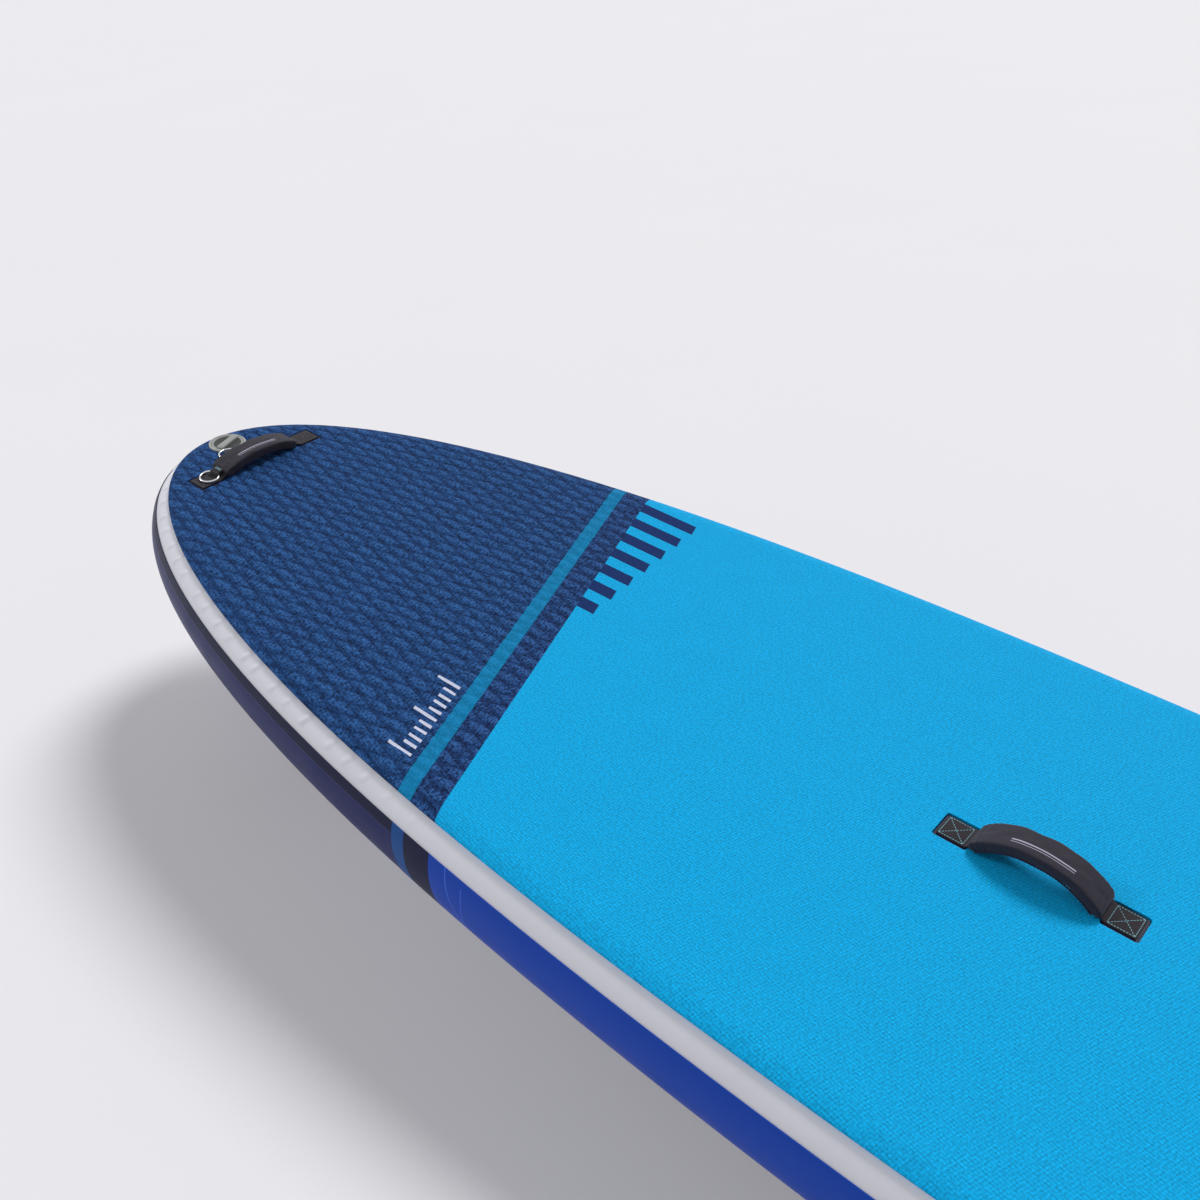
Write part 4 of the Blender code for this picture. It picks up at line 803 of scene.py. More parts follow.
def pad_block(name, first_x, last_x, columns, spacing, height):
    """A pad as a closed block between two places along the board, open at cut ends."""
    stations = half_outline(spacing)
    inner_x, inner_y = stations[:2] - RAIL_INSET * stations[2:]
    rows = np.nonzero((inner_x >= first_x) & (inner_x <= last_x))[0]
    tipped = rows[0] == 0
    low = RAIL_RADIUS + GAP
    top = low + PAD_THICKNESS
    edge = [(PAD_EDGE * share, top) for share in np.linspace(0.09, 0.955, 11)]
    edge += [(PAD_EDGE * share, radius) for share, radius in (
        (0.985, top - 0.0003), (0.997, top - 0.0008), (1, top - 0.0016), (1, low), (0.5, low), (0, low))]

    grid = rows[1:] if tipped else rows
    wide = columns + 1
    y = np.outer(inner_y[grid], np.linspace(-1, 1, wide))
    x = np.repeat(inner_x[grid], wide).reshape(y.shape)
    z = PAD_TOP + rocker(x) - height * (1 - relief(x, y))
    points = [np.stack([x, y, z], axis=2).reshape(-1, 3)]
    here = (np.arange(len(grid) - 1)[:, None] * wide + np.arange(columns)).ravel()
    faces = np.stack([here, here + 1, here + wide + 1, here + wide], axis=1).tolist()
    size = len(grid) * wide
    left, right = ([row * wide + column for row in range(len(grid))] for column in (columns, 0))
    if tipped:
        tip_z = PAD_TOP - height * (1 - relief(inner_x[:1], np.zeros(1)))
        points.append([[inner_x[0], 0.0, tip_z[0]]])
        faces += [[size, step, step + 1] for step in range(columns)]
        chains = [(left[::-1] + [size] + right, np.r_[rows[::-1], rows[1:]],
                   np.repeat((1.0, -1.0), (len(rows), len(rows) - 1)))]
        size += 1
    else:
        chains = [(left, rows, 1.0), (right, rows, -1.0)]

    bottoms = []
    for chain, source, side in chains:
        before = np.array(chain)
        x0, y0, normal_x, normal_y = stations[:, source]
        for angle, radius in edge:
            fade = min(1.0, max(0.0, (PAD_EDGE * 0.97 - angle) / (PAD_EDGE * 0.12))) * (radius > low)
            radius = radius - height * (1 - relief(x0, y0 * side)) * fade
            reach = radius * sin(angle) - RAIL_INSET
            x = x0 + normal_x * reach
            z = RAIL_RADIUS + radius * cos(angle) + rocker(x)
            points.append(np.stack([x, (y0 + normal_y * reach) * side, z], axis=1))
            after = size + np.arange(len(source))
            faces += np.stack([before[:-1], before[1:], after[1:], after[:-1]], axis=1).tolist()
            before = after
            size += len(source)
        bottoms.append(before.tolist())
    if tipped:
        middle = len(rows) - 1
        faces.append(bottoms[0][middle - 1:middle + 2])
        bottoms = bottoms[0][middle - 1::-1], bottoms[0][middle + 1:]
    one, other = bottoms
    faces += [[one[step], one[step + 1], other[step + 1], other[step]] for step in range(len(one) - 1)]
    return mesh_object(name, np.concatenate(points), faces)


def trim(obj, from_tip, sign):
    """Cut a pad by a slanting plane and close the cut; sign +1 drops what lies noseward."""
    normal = Vector((cos(PAD_SLANT), sin(PAD_SLANT), 0)) * sign
    bm = bmesh.new()
    bm.from_mesh(obj.data)
    cut = bmesh.ops.bisect_plane(bm, geom=bm.verts[:] + bm.edges[:] + bm.faces[:], dist=0.000001,
                                 plane_co=Vector((PAD_TIP_X + from_tip, 0, 0)), plane_no=normal,
                                 clear_outer=True)
    rim = [item for item in cut["geom_cut"] if isinstance(item, bmesh.types.BMEdge)]
    bmesh.ops.edgeloop_fill(bm, edges=rim)
    bmesh.ops.recalc_face_normals(bm, faces=bm.faces[:])
    bm.to_mesh(obj.data)
    bm.free()


def pocket(x, y, length, width):
    """A cutter for the pocket round one patch."""
    outline = rounded_rectangle(length + 2 * POCKET_CLEARANCE, width + 2 * POCKET_CLEARANCE,
                                POCKET_CORNER)
    outline = [(x + px, y + py) for px, py in outline]
    return slab("pocket", [(outline, DECK - BARREL_DEPTH), (outline, DECK + BARREL_DEPTH)])


def tail_foam(name, colour, depth=0.37, grain_and_highlight=0.78):
    """Grooved foam: paler grain dashes run over the crowns, brightest there as a painted highlight, and
    painted shade darkens the grooves.
    """
    # The third argument sets how dark the painted shade in the grooves is; the fourth sets the grain's
    # contrast and the strength of the painted highlight on the crowns.
    paint = Graph(name, 0.80, specular=0.12)
    crest = paint.attribute("crest")
    weave = paint.times(paint.ripple(0.0029, 0.96, -0.27, 0), paint.ripple(0.0047, 0.27, 0.96, 0))
    grain = paint.contrast(paint.noise(560.0, 2.0, (1.0, 0.36, 1.0)), 5.5)
    dashes = paint.line(weave, 0.45, paint.times(grain, 0.75))
    # Grain dashes, weighted to the crowns: where they are mixed to the paler colour there, a painted
    # highlight.
    crown_highlight_dashes = paint.times(dashes, paint.line(crest, 0.80, 0.12))
    base = paint.shade(linear(colour), paint.noise(40.0, 3.0), 0.90, 1.06)
    # Painted shade: darker in the grooves, a little lighter on the crowns, following the relief's height.
    base = paint.shade(base, crest, 1.0 - depth, 1.0 + 0.15 * depth)
    base = paint.shade(base, grain, 1.0 - 0.72 * grain_and_highlight, 1.0 + 0.34 * grain_and_highlight)
    # The paler colour of the grain dashes and of the painted highlight on the crowns.
    pale = linear(mixed(colour, FOAM_PALE, 0.75))
    paint.colour(paint.mix(paint.times(crown_highlight_dashes, grain_and_highlight), base, pale))
    paint.bump(weave, 0.00035)
    paint.bump(grain, 0.00020)
    return paint


def bars(paint, first_y, pitch, filled, total, from_tip):
    """Plain bars across the board: their number, the slanted distance, and 1 inside their rows."""
    slant = paint.math("SUBTRACT", paint.along(1, tan(PAD_SLANT), 0), PAD_TIP_X + from_tip)
    row = paint.math("DIVIDE", paint.math("SUBTRACT", paint.along(0, 1, 0), first_y), pitch)
    number = paint.math("FLOOR", row)
    inside = paint.below(paint.math("FRACT", row), filled)
    return number, slant, paint.times(inside, paint.between(number, -0.5, total - 0.5))


def ruled_foam():
    """The tail pad's foam, with a plain scale of pale ticks in line with the stripe."""
    paint = tail_foam("tail_pad_foam", TAIL_BLUE)
    number, slant, inside = bars(paint, first_y=-0.320, pitch=0.0125, filled=0.36, total=11,
                                 from_tip=STRIPE_START)
    fifth = paint.below(paint.math("MODULO", paint.math("ADD", number, 0.5), 5.0), 1.0)
    drawn = paint.times(paint.above(slant, paint.line(fifth, -0.018, -0.031)),
                        paint.below(slant, -0.010))
    paint.print_over(paint.times(inside, drawn), PRINT_WHITE)
    return paint


def main_foam():
    """Cyan foam with staggered diagonal dashes over a fine weave, and graduated plain bars."""
    paint = Graph("main_foam", 0.78, specular=0.14)
    angle = radians(28.8)
    dash = paint.times(paint.wave(0.0058, cos(angle), sin(angle), 0),
                       paint.wave(0.0049, -sin(angle), cos(angle), 0))
    uneven = paint.line(paint.noise(95.0, 2.0), 1.3, -0.15)
    dash = paint.line(paint.times(dash, uneven), 0.5, 0.5)
    weave = paint.times(paint.ripple(0.0020, 1, 0, 0), paint.ripple(0.0020, 0, 1, 0))
    number, slant, inside = bars(paint, first_y=0.040, pitch=0.042, filled=0.52, total=7,
                                 from_tip=BAND_END)
    printed = paint.times(inside, paint.below(slant, paint.line(number, 0.0115, 0.030)))
    colour = paint.mix(printed, linear(MAIN_CYAN), linear(BAND_BLUE))
    for share, low, high in ((paint.noise(25.0, 3.0), 0.96, 1.04), (dash, 0.66, 1.34),
                             (paint.contrast(paint.noise(360.0, 2.0), 3.0), 0.80, 1.18),
                             (weave, 0.95, 1.12)):
        colour = paint.shade(colour, share, low, high)
    paint.colour(colour)
    paint.bump(dash, 0.00050)
    paint.bump(weave, 0.00020)
    return paint


def pad_front():
    """The space behind the main pad's round front edge."""
    turns = np.linspace(-pi / 2, pi / 2, 121)
    round_x = PAD_FRONT + PAD_FRONT_RADIUS * (np.cos(turns) - 1)
    outline = [(-HALF_LENGTH, -0.6), *zip(round_x, PAD_FRONT_RADIUS * np.sin(turns)), (-HALF_LENGTH, 0.6)]
    return slab("pad_front", [(outline, -0.5), (outline, 0.8)])


def make_pads():
    """The four pads, cut from one sheet, with pockets for the patches and the valve's hole."""
    reach = tan(PAD_SLANT) * PAD_HALF + PAD_CUT_SPARE
    half_gap = GAP / 2 / cos(PAD_SLANT)
    aside = PATCH_SPACING / 2
    pockets = {
        "tail_pad": [(TAIL_HANDLE_X, -aside, PATCH_SIDE, PATCH_SIDE),
                     (TAIL_HANDLE_X, aside, PATCH_SIDE, PATCH_SIDE),
                     (LEASH_PATCH_X, -LEASH_ASIDE, LEASH_PATCH_LENGTH, LEASH_PATCH_WIDTH)],
        "main_pad": [(CENTRE_HANDLE_X - aside, 0, PATCH_SIDE, PATCH_SIDE),
                     (CENTRE_HANDLE_X + aside, 0, PATCH_SIDE, PATCH_SIDE)],
    }
    for name, node, look, start, end in (
            ("tail_foam_pad", "tail_pad", "navy_foam", None, STRIPE_START),
            ("stripe_foam", "pad_stripe", "teal_foam", STRIPE_START, STRIPE_END),
            ("band_foam", "pad_band", "dark_foam", STRIPE_END, BAND_END),
            ("main_foam_pad", "main_pad", "cyan_foam", BAND_END, None)):
        first_x = -HALF_LENGTH if start is None else PAD_TIP_X + start - reach
        last_x = PAD_FRONT + PAD_CUT_SPARE if end is None else PAD_TIP_X + end + reach
        if node == "main_pad":
            block = pad_block(name, first_x, last_x, PLAIN_COLUMNS, PLAIN_SPACING, 0.0)
        else:
            block = pad_block(name, first_x, last_x, FINE_COLUMNS, STATION_SPACING, RELIEF_HEIGHT)
        if start is not None:
            trim(block, start + half_gap, -1)
        if end is not None:
            trim(block, end - half_gap, 1)
        if node == "tail_pad":
            boolean(block, cylinder_cutter("valve_hole", FLANGE_RADIUS + RIM_CLEARANCE,
                                           (VALVE_X, 0, DECK), BARREL_DEPTH, 96))
        for place in pockets.get(node, ()):
            boolean(block, pocket(*place))
        if node == "main_pad":
            boolean(block, pad_front(), "INTERSECT")
        if node in pockets:
            block = baked(block)
        # The relief's height, which the grooved foams' painted shade and painted highlight follow.
        measure(block, "crest", relief(*points_of(block.data)[:, :2].T))
        piece(block, look, node, angle=40)


def level_frame(x, y, turn=0.0):
    """A frame on the flat part of the deck, turned about the vertical."""
    return Matrix.Translation((x, y, DECK)) @ Matrix.Rotation(turn, 4, "Z")


def ring_frame(name):
    """The frame at a ring's bar: Y along the bar, Z away from the surface."""
    bar = Vector(joints[name]["axis"])
    ahead = bar.cross(Vector((0, 0, 1))).normalized()
    return matrix_of(ahead, bar, ahead.cross(bar), Vector(joints[name]["pos_m"]))


def sticker(name, matrix, outline, top, on_deck=True):
    """A glued patch: its foot follows the deck, its top edge is round."""
    outline = np.asarray(outline)
    centre = outline.mean(axis=0)
    reach = np.abs(outline - centre).max()

    def ring(inset, height):
        shrunk = centre + (outline - centre) * (1 - inset / reach)
        return np.insert(shrunk, 2, height, axis=1)

    foot = ring(0.0, GAP)
    for point in foot if on_deck else ():
        place = matrix @ Vector(point)
        point[2] -= place.z - (DECK + rocker(place.x) + GAP)
    rings = [foot, ring(0.0, top - PATCH_RIM)]
    for turn in (pi / 6, pi / 3, pi / 2):
        rings.append(ring(PATCH_RIM * (1 - cos(turn)), top - PATCH_RIM + PATCH_RIM * sin(turn)))
    rings.append(ring(0.5 * reach, top))
    made = skin(name, rings)
    made.matrix_world = matrix
    return made


def resampled(outline, count):
    """The same closed outline with evenly spaced points, and their outward normals."""
    rows = np.asarray([*outline, outline[0]]).T
    walked = walk_along(*rows)
    marks = np.linspace(0, walked[-1], count, endpoint=False)
    even = np.stack([np.interp(marks, walked, row) for row in rows], axis=1)
    run = unit(np.roll(even, -1, axis=0) - np.roll(even, 1, axis=0))
    return even, np.stack([run[:, 1], -run[:, 0]], axis=1)


def sweep(name, path, section):
    """Carry a section of (across, out) points, or one for each place, along (along, up) points."""
    run = unit(np.gradient(path, axis=0))
    section = np.asarray(section)
    sections = np.broadcast_to(section, (len(path), *section.shape[-2:]))
    rings = []
    for (along, up), (ahead, rise), (across, out) in zip(path, run, sections.transpose(0, 2, 1)):
        rings.append(np.stack([along - rise * out, across, up + ahead * out], axis=1))
    return skin(name, rings)


def strap_section(width, thickness):
    """A strap's cross-section with round selvedges."""
    return rounded_rectangle(width, thickness, thickness * 0.45, 4)


def arch_up(along, rise):
    """The strap's height at a place along a handle."""
    share = np.minimum(1.0, np.abs(along) / ARCH_HALF)
    return WEB_LEVEL + rise * (1 - share ** ARCH_POWER)


def room_under(along, rise):
    """How far a grip reaches down from its strap's middle before it meets the deck."""
    slope = rise * ARCH_POWER * (abs(along) / ARCH_HALF) ** (ARCH_POWER - 1) / ARCH_HALF
    room = arch_up(along, rise) - WEB_LEVEL - WEBBING / 2 - GRIP_DECK_ROOM
    return max(room * hypot(1, slope), GRIP_LEAST_ROOM)


def strap_path(rise):
    """A handle strap's line from tab to tab, eased where it leaves the patches."""
    reach = PATCH_SPACING / 2 + WEBBING_WIDTH / 2
    along = np.linspace(-reach, reach, 181)
    rows = np.stack([along, arch_up(along, rise)], axis=1)
    for _ in range(5):
        rows[1:-1] = rows[1:-1] * 0.5 + (rows[:-2] + rows[2:]) * 0.25
    return rows


def grip_form(name, rise, half):
    """A grip's outer form: flat top, pinched foot, bulging sides and creases towards its ends."""
    outline = rounded_rectangle(GRIP_WIDTH, GRIP_THICKNESS, GRIP_SHOULDER, 8, GRIP_FOOT_CORNER)
    even, normal = resampled(outline, 96)
    around = np.arctan2(even[:, 1], even[:, 0])
    bulge = 0.0003 * np.abs(normal[:, 0]) * (1 - (even[:, 1] / (GRIP_THICKNESS / 2)) ** 2)
    crown = 0.0004 * np.clip(normal[:, 1], 0, 1) * (1 - (even[:, 0] / (GRIP_WIDTH / 2)) ** 2)
    sections = []
    shares = np.linspace(-1, 1, 129)
    for share in shares:
        along = share * half
        from_end = (1 - abs(share)) * half
        close = 1 - 0.42 * exp(-(from_end / 0.0022) ** 2) - 0.10 * exp(-(from_end / 0.010) ** 2)
        crease = 0.00045 * exp(-(from_end / 0.017) ** 2) * np.sin(
            2 * pi * from_end / 0.0062 + 1.7 * np.sin(2 * around + share))
        soft = 0.00022 * (np.sin(along / 0.0052 + 3 * around) + np.sin(along / 0.0083 - 2 * around + 1.0))
        across, out = (even + normal * (crease + soft + bulge + crown - 0.0007)[:, None]).T
        out = np.maximum(out * close, -room_under(along, rise))
        sections.append(np.stack([across * (0.86 + 0.14 * close), out], axis=1))
    along = shares * half
    return sweep(name, np.stack([along, arch_up(along, rise)], axis=1), sections)


def puffed(obj):
    """Swell a closed form as stuffed cloth does, with its ends held and each move limited."""
    step = obj.modifiers.new("Remesh", "REMESH")
    step.mode = "VOXEL"
    step.voxel_size = GRIP_VOXEL
    obj = link(baked(obj))
    before = points_of(obj.data)
    from_middle = np.abs(before[:, 0])
    held = obj.vertex_groups.new(name="held")
    for number in np.nonzero(from_middle > from_middle.max() - GRIP_HELD)[0]:
        held.add([int(number)], 1.0, "REPLACE")
    cloth = obj.modifiers.new("Cloth", "CLOTH")
    cloth.settings.vertex_group_mass = "held"
    cloth.settings.use_pressure = True
    cloth.settings.uniform_pressure_force = GRIP_PRESSURE
    cloth.settings.effector_weights.gravity = 0.0
    cloth.settings.quality = CLOTH_QUALITY
    cloth.point_cache.frame_start = 1
    cloth.point_cache.frame_end = CLOTH_FRAMES
    for number in range(1, CLOTH_FRAMES + 1):
        bpy.context.scene.frame_set(number)
    swollen = evaluated(obj)
    moved = points_of(swollen) - before
    bpy.data.meshes.remove(swollen)
    obj.modifiers.remove(cloth)
    bpy.context.scene.frame_set(1)
    length = np.linalg.norm(moved, axis=1, keepdims=True)
    moved *= np.minimum(1.0, GRIP_MOVE / np.maximum(length, 1e-9))
    obj.data.vertices.foreach_set("co", (before + moved).ravel())
    obj.vertex_groups.clear()
    obj.data.update()
    bpy.context.scene.collection.objects.unlink(obj)
    return obj


def stitches(name, runs, height, matrix, look="thread"):
    """Rows of thread: each stitch is a short bead that dives at both ends."""
    stations = np.array([-0.5, -0.44, -0.27, 0.0, 0.27, 0.44, 0.5])
    fat = np.array([0.45, 0.8, 1.0, 1.0, 1.0, 0.8, 0.45])
    low = height - STITCH_RADIUS * (2 * stations[:, None]) ** 4
    side, up = (np.outer(fat, each) for each in circle(STITCH_RADIUS, 8).T)
    points, faces = [], []
    for start, end in np.asarray(runs):
        length = np.linalg.norm(end - start)
        ahead = (end - start) / length
        total = max(1, round(length / STITCH_PITCH))
        for number in range(total):
            middle = start + ahead * length * (number + 0.5) / total
            spots = middle + np.outer(stations, ahead) * STITCH_PITCH * STITCH_SHARE
            faces += skin_faces(*side.shape, first=side.size * len(points))
            points.append(np.stack([spots[:, :1] - ahead[1] * side, spots[:, 1:] + ahead[0] * side,
                                    low + up], axis=2).reshape(-1, 3))
    piece(mesh_object(name, np.concatenate(points), faces), look, angle=60, at=matrix)


def box_cross(middle, half):
    """The runs of a sewn square with its diagonals."""
    corners = [(middle - half, -half), (middle + half, -half), (middle + half, half),
               (middle - half, half)]
    runs = list(zip(corners, corners[1:] + corners[:1]))
    return runs + [(corners[0], corners[2]), (corners[1], corners[3])]


def ragged_square(side, seed):
    """A square patch outline cut by hand: slightly uneven, with small round corners."""
    even, normal = resampled(rounded_rectangle(side, side, 0.0030, 5), 88)
    draw = np.random.default_rng(seed)
    wobble = np.convolve(np.tile(draw.normal(0, 1, 88), 3), np.ones(5) / 5, "same")[88:176]
    return even - normal * (0.00016 + 0.00016 * np.abs(wobble))[:, None]


def hem(prefix, rise, half, matrix):
    """The overlocked lower edges of a grip: two beads, knotted by each turn of thread."""
    along = np.linspace(-half + 0.004, half - 0.004, 241)
    path = np.stack([along, arch_up(along, rise)], axis=1)
    for side, end in ((-1, "_hem_right"), (1, "_hem_left")):
        sections = []
        for place in along:
            wander = 0.0003 * sin(place / 0.0071 + side)
            low = -min(GRIP_THICKNESS / 2 - 0.0002, room_under(place, rise))
            centre = (side * (GRIP_WIDTH / 2 - 0.0012 + wander * 0.5), low + wander)
            radius = 0.0008 + 0.0006 * abs(sin(pi * place / 0.0036))
            if abs(place) == along[-1]:
                radius *= 0.3
            sections.append(centre + circle(radius, 10))
        piece(sweep(prefix + end, path, sections), "hem", angle=60, at=matrix)


def make_handle(prefix, matrix, rise, half, yarn):
    """One carry handle: two patches, the strap, its stitching and the padded grip."""
    for number, (end, sign) in enumerate((("a", -1), ("b", 1))):
        outline = ragged_square(PATCH_SIDE, 11 * number + len(prefix))
        outline[:, 0] += sign * PATCH_SPACING / 2
        patch = sticker(prefix + "_glued_" + end, matrix, outline, GAP + PATCH_THICKNESS)
        piece(patch, "patch", prefix + "_patch_" + end)
    path = strap_path(rise)
    strap = sweep(prefix + "_strap", path, strap_section(WEBBING_WIDTH, WEBBING))
    piece(strap, "webbing", prefix + "_webbing", at=matrix)
    runs = []
    for sign in (-1, 1):
        runs += box_cross(sign * (PATCH_SPACING / 2 + GAP), BOX_STITCH_HALF)
    stitches(prefix + "_stitches", runs, WEB_LEVEL + WEBBING / 2, matrix, yarn)
    grip = puffed(grip_form(prefix + "_padded_grip", rise, half))
    slot = sweep(prefix + "_slot", path, strap_section(WEBBING_WIDTH + 2 * GAP, WEBBING + 2 * GAP))
    grip = piece(baked(boolean(grip, slot)), "grip", prefix + "_grip", angle=60, at=matrix)
    hem(prefix, rise, half, matrix)


def wire(name, middles, outward, upward, radius, sides, closed=False):
    """A round wire along a line, with its section laid out in two directions."""
    section = circle(radius, sides)
    rings = [middle + section @ np.stack([out, up]) for middle, out, up in zip(middles, outward, upward)]
    return skin(name, rings, closed)


def ring_line():
    """A ring's centre line in its own plane: the bar on the Y axis, the bow towards -X."""
    bar_half = sqrt(RING_RADIUS ** 2 - RING_BAR_OFFSET ** 2) - RING_CORNER * 0.7
    bar = [(0.0, y) for y in np.linspace(-bar_half, bar_half, 9)]
    bow = [(-RING_BAR_OFFSET - RING_RADIUS * cos(angle), RING_RADIUS * sin(angle))
           for angle in np.linspace(RING_BOW, -RING_BOW, 45)]

    def corner(start, side, end):
        share = np.array([[0.2], [0.4], [0.6], [0.8]])
        shoulder = (-RING_CORNER * 0.3, side * (bar_half + RING_CORNER * 0.75))
        return (1 - share) ** 2 * start + 2 * share * (1 - share) * shoulder + share ** 2 * end

    return np.concatenate([bar, corner(bar[-1], 1, bow[0]), bow, corner(bow[-1], -1, bar[0])])


def make_ring(name, joint, body, drop):
    """A bent wire ring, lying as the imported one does."""
    line = ring_line()
    run = unit(np.roll(line, -1, axis=0) - np.roll(line, 1, axis=0))
    outward = np.stack([run[:, 1], -run[:, 0], np.zeros(len(line))], axis=1)
    upward = np.tile((0.0, 0.0, 1.0), (len(line), 1))
    ring = wire(name + "_wire", np.insert(line, 2, 0.0, axis=1), outward, upward, WIRE_RADIUS, 14, True)
    tilt = Matrix.Rotation(-asin(drop / (RING_RADIUS + RING_BAR_OFFSET)), 4, "Y")
    piece(ring, "steel", name, body=body, angle=80, at=ring_frame(joint) @ tilt)


def make_loop(name, joint, length, tail_up, node):
    """A strap folded round a ring's bar and sewn down behind it."""
    turn_radius = WIRE_RADIUS + 0.0004 + LOOP_WEB / 2
    upper = tail_up + LOOP_WEB + 2 * GAP
    path = [(place, tail_up) for place in np.linspace(length, length * 0.45, 8)]
    path += [(turn_radius * cos(angle), turn_radius * sin(angle))
             for angle in np.linspace(-LOOP_MOUTH, LOOP_MOUTH - 2 * pi, 29)]
    path += [(place, upper) for place in np.linspace(length * 0.45, length, 8)]
    loop = sweep(name + "_strap", path, strap_section(LOOP_WIDTH, LOOP_WEB))
    piece(loop, "webbing", node, angle=50, at=ring_frame(joint))
    half = LOOP_WIDTH / 2 - 0.0022
    near, far = length * 0.55, length - 0.0014
    runs = [((near, -half), (near, half)), ((far, -half), (far, half)),
            ((near, -half), (far, half)), ((near, half), (far, -half))]
    stitches(name + "_stitches", runs, upper + LOOP_WEB / 2, ring_frame(joint))


def turned(name, profile, segments=96):
    """A solid of revolution from (radius, height) corners, with its corners slightly eased."""
    profile = np.asarray(profile)
    eased = []
    for before, here, after in zip(np.roll(profile, 1, axis=0), profile, np.roll(profile, -1, axis=0)):
        if here[0] == 0.0:
            eased.append(here)
            continue
        ends = [here + (other - here) * min(0.4, TURNED_EASE / np.linalg.norm(other - here))
                for other in (before, after)]
        eased += [ends[0], (ends[0] + ends[1]) / 4 + here / 2, ends[1]]
    points, faces, rings = [], [], []
    for radius, height in eased:
        ring = circle(radius, segments) if radius else np.zeros((1, 2))
        rings.append([len(points) + step for step in range(len(ring))])
        points += np.insert(ring, 2, height, axis=1).tolist()
    for ring, following in zip(rings, rings[1:] + rings[:1]):
        if len(ring) == len(following) == 1:
            continue
        for step in range(segments):
            more = (step + 1) % segments
            if len(ring) == 1:
                faces.append([ring[0], following[step], following[more]])
            elif len(following) == 1:
                faces.append([ring[step], following[0], ring[more]])
            else:
                faces.append([ring[step], ring[more], following[more], following[step]])
    return mesh_object(name, points, faces)


def finger_bar():
    """The cap's raised bar: round-topped, waisted, with a flat foot sunk in the cap."""
    sections = []
    marks = np.linspace(-1, 1, 41)
    low = DISH_FLOOR - 0.0003
    for mark in marks:
        end = sqrt(max(0.0, 1 - abs(mark) ** 7))
        half = CAP_BAR_WIDTH * (0.84 + 0.16 * mark * mark) * (0.55 + 0.45 * end) / 2
        high = CAP_TOP + (CAP_BAR_HEIGHT - 0.0004 * (1 - mark * mark)) * (0.25 + 0.75 * end)
        corner = min(0.0013, half * 0.6, (high - low) * 0.3)
        sections.append(quarter_arc(half - corner, high - corner, corner, 0, 5)
                        + quarter_arc(corner - half, high - corner, corner, 1, 5)
                        + [(-half - 0.0005, low), (half + 0.0005, low)])
    path = np.stack([marks * (CAP_RADIUS - 0.0022), np.zeros_like(marks)], axis=1)
    return sweep("finger_bar", path, sections)


def make_spring():
    """The stem's spring: one round wire."""
    height = SPRING_HIGH - SPRING_LOW
    share = np.linspace(0, 1, SPRING_TURNS * 32 + 1)
    turns = 2 * pi * SPRING_TURNS * share
    climb = height / (2 * pi * SPRING_TURNS * SPRING_RADIUS)
    outward = np.stack([np.cos(turns), np.sin(turns), 0 * turns], axis=1)
    ahead = unit(np.stack([-np.sin(turns), np.cos(turns), 0 * turns + climb], axis=1))
    middles = SPRING_RADIUS * outward + (VALVE_X, 0, DECK + SPRING_LOW)
    middles[:, 2] += height * share
    spring = wire("stem_spring", middles, outward, np.cross(ahead, outward), SPRING_WIRE, 12)
    piece(spring, "steel", "valve_spring", slot="spring_steel", angle=60)
    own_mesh(spring)


def make_valve():
    """The valve's body and cap, with eased edges, a stepped rim and a waisted finger bar."""
    place = Matrix.Translation((VALVE_X, 0, DECK))
    recess = CAP_RADIUS + CAP_CLEARANCE
    body = turned("valve_flange", [
        (recess, FLANGE_TOP - 0.0002), (recess + 0.0009, FLANGE_TOP),
        (FLANGE_RADIUS - 0.0014, FLANGE_TOP), (FLANGE_RADIUS, FLANGE_TOP - 0.0016),
        (FLANGE_RADIUS, FLANGE_LOW), (BARREL_RADIUS, FLANGE_LOW), (BARREL_RADIUS, -BARREL_DEPTH),
        (SEAT_RADIUS, -BARREL_DEPTH), (SEAT_RADIUS, SHELF_TOP), (MOUTH_RADIUS, SHELF_TOP),
        (MOUTH_RADIUS, RECESS_FLOOR), (recess, RECESS_FLOOR)])
    piece(body, "valve_grey", "valve_body", angle=45, at=place)
    low = RECESS_FLOOR + GAP
    cap = turned("cap_disc", [
        (0.0, DISH_FLOOR), (DISH_RADIUS, DISH_FLOOR), (DISH_RADIUS + 0.0010, CAP_TOP),
        (CAP_RADIUS - CAP_EDGE, CAP_TOP), (CAP_RADIUS, CAP_TOP - CAP_EDGE), (CAP_RADIUS, low),
        (PLUG_RADIUS, low), (PLUG_RADIUS, GROOVE_TOP), (GROOVE_RADIUS, GROOVE_TOP),
        (GROOVE_RADIUS, GROOVE_LOW), (PLUG_RADIUS, GROOVE_LOW), (PLUG_RADIUS, PLUG_LOW),
        (HOLLOW_RADIUS, PLUG_LOW), (HOLLOW_RADIUS, DISH_FLOOR - CAP_WEB), (0.0, DISH_FLOOR - CAP_WEB)])
    cap.data.transform(place)
    bar = finger_bar()
    bar.data.transform(place @ Matrix.Rotation(CAP_BAR_ANGLE, 4, "Z"))
    cap = baked(boolean(cap, bar, "UNION"))
    cap.name = "valve_lid"
    piece(cap, "valve_dark", "valve_cap", body="cap", angle=40)
    make_spring()


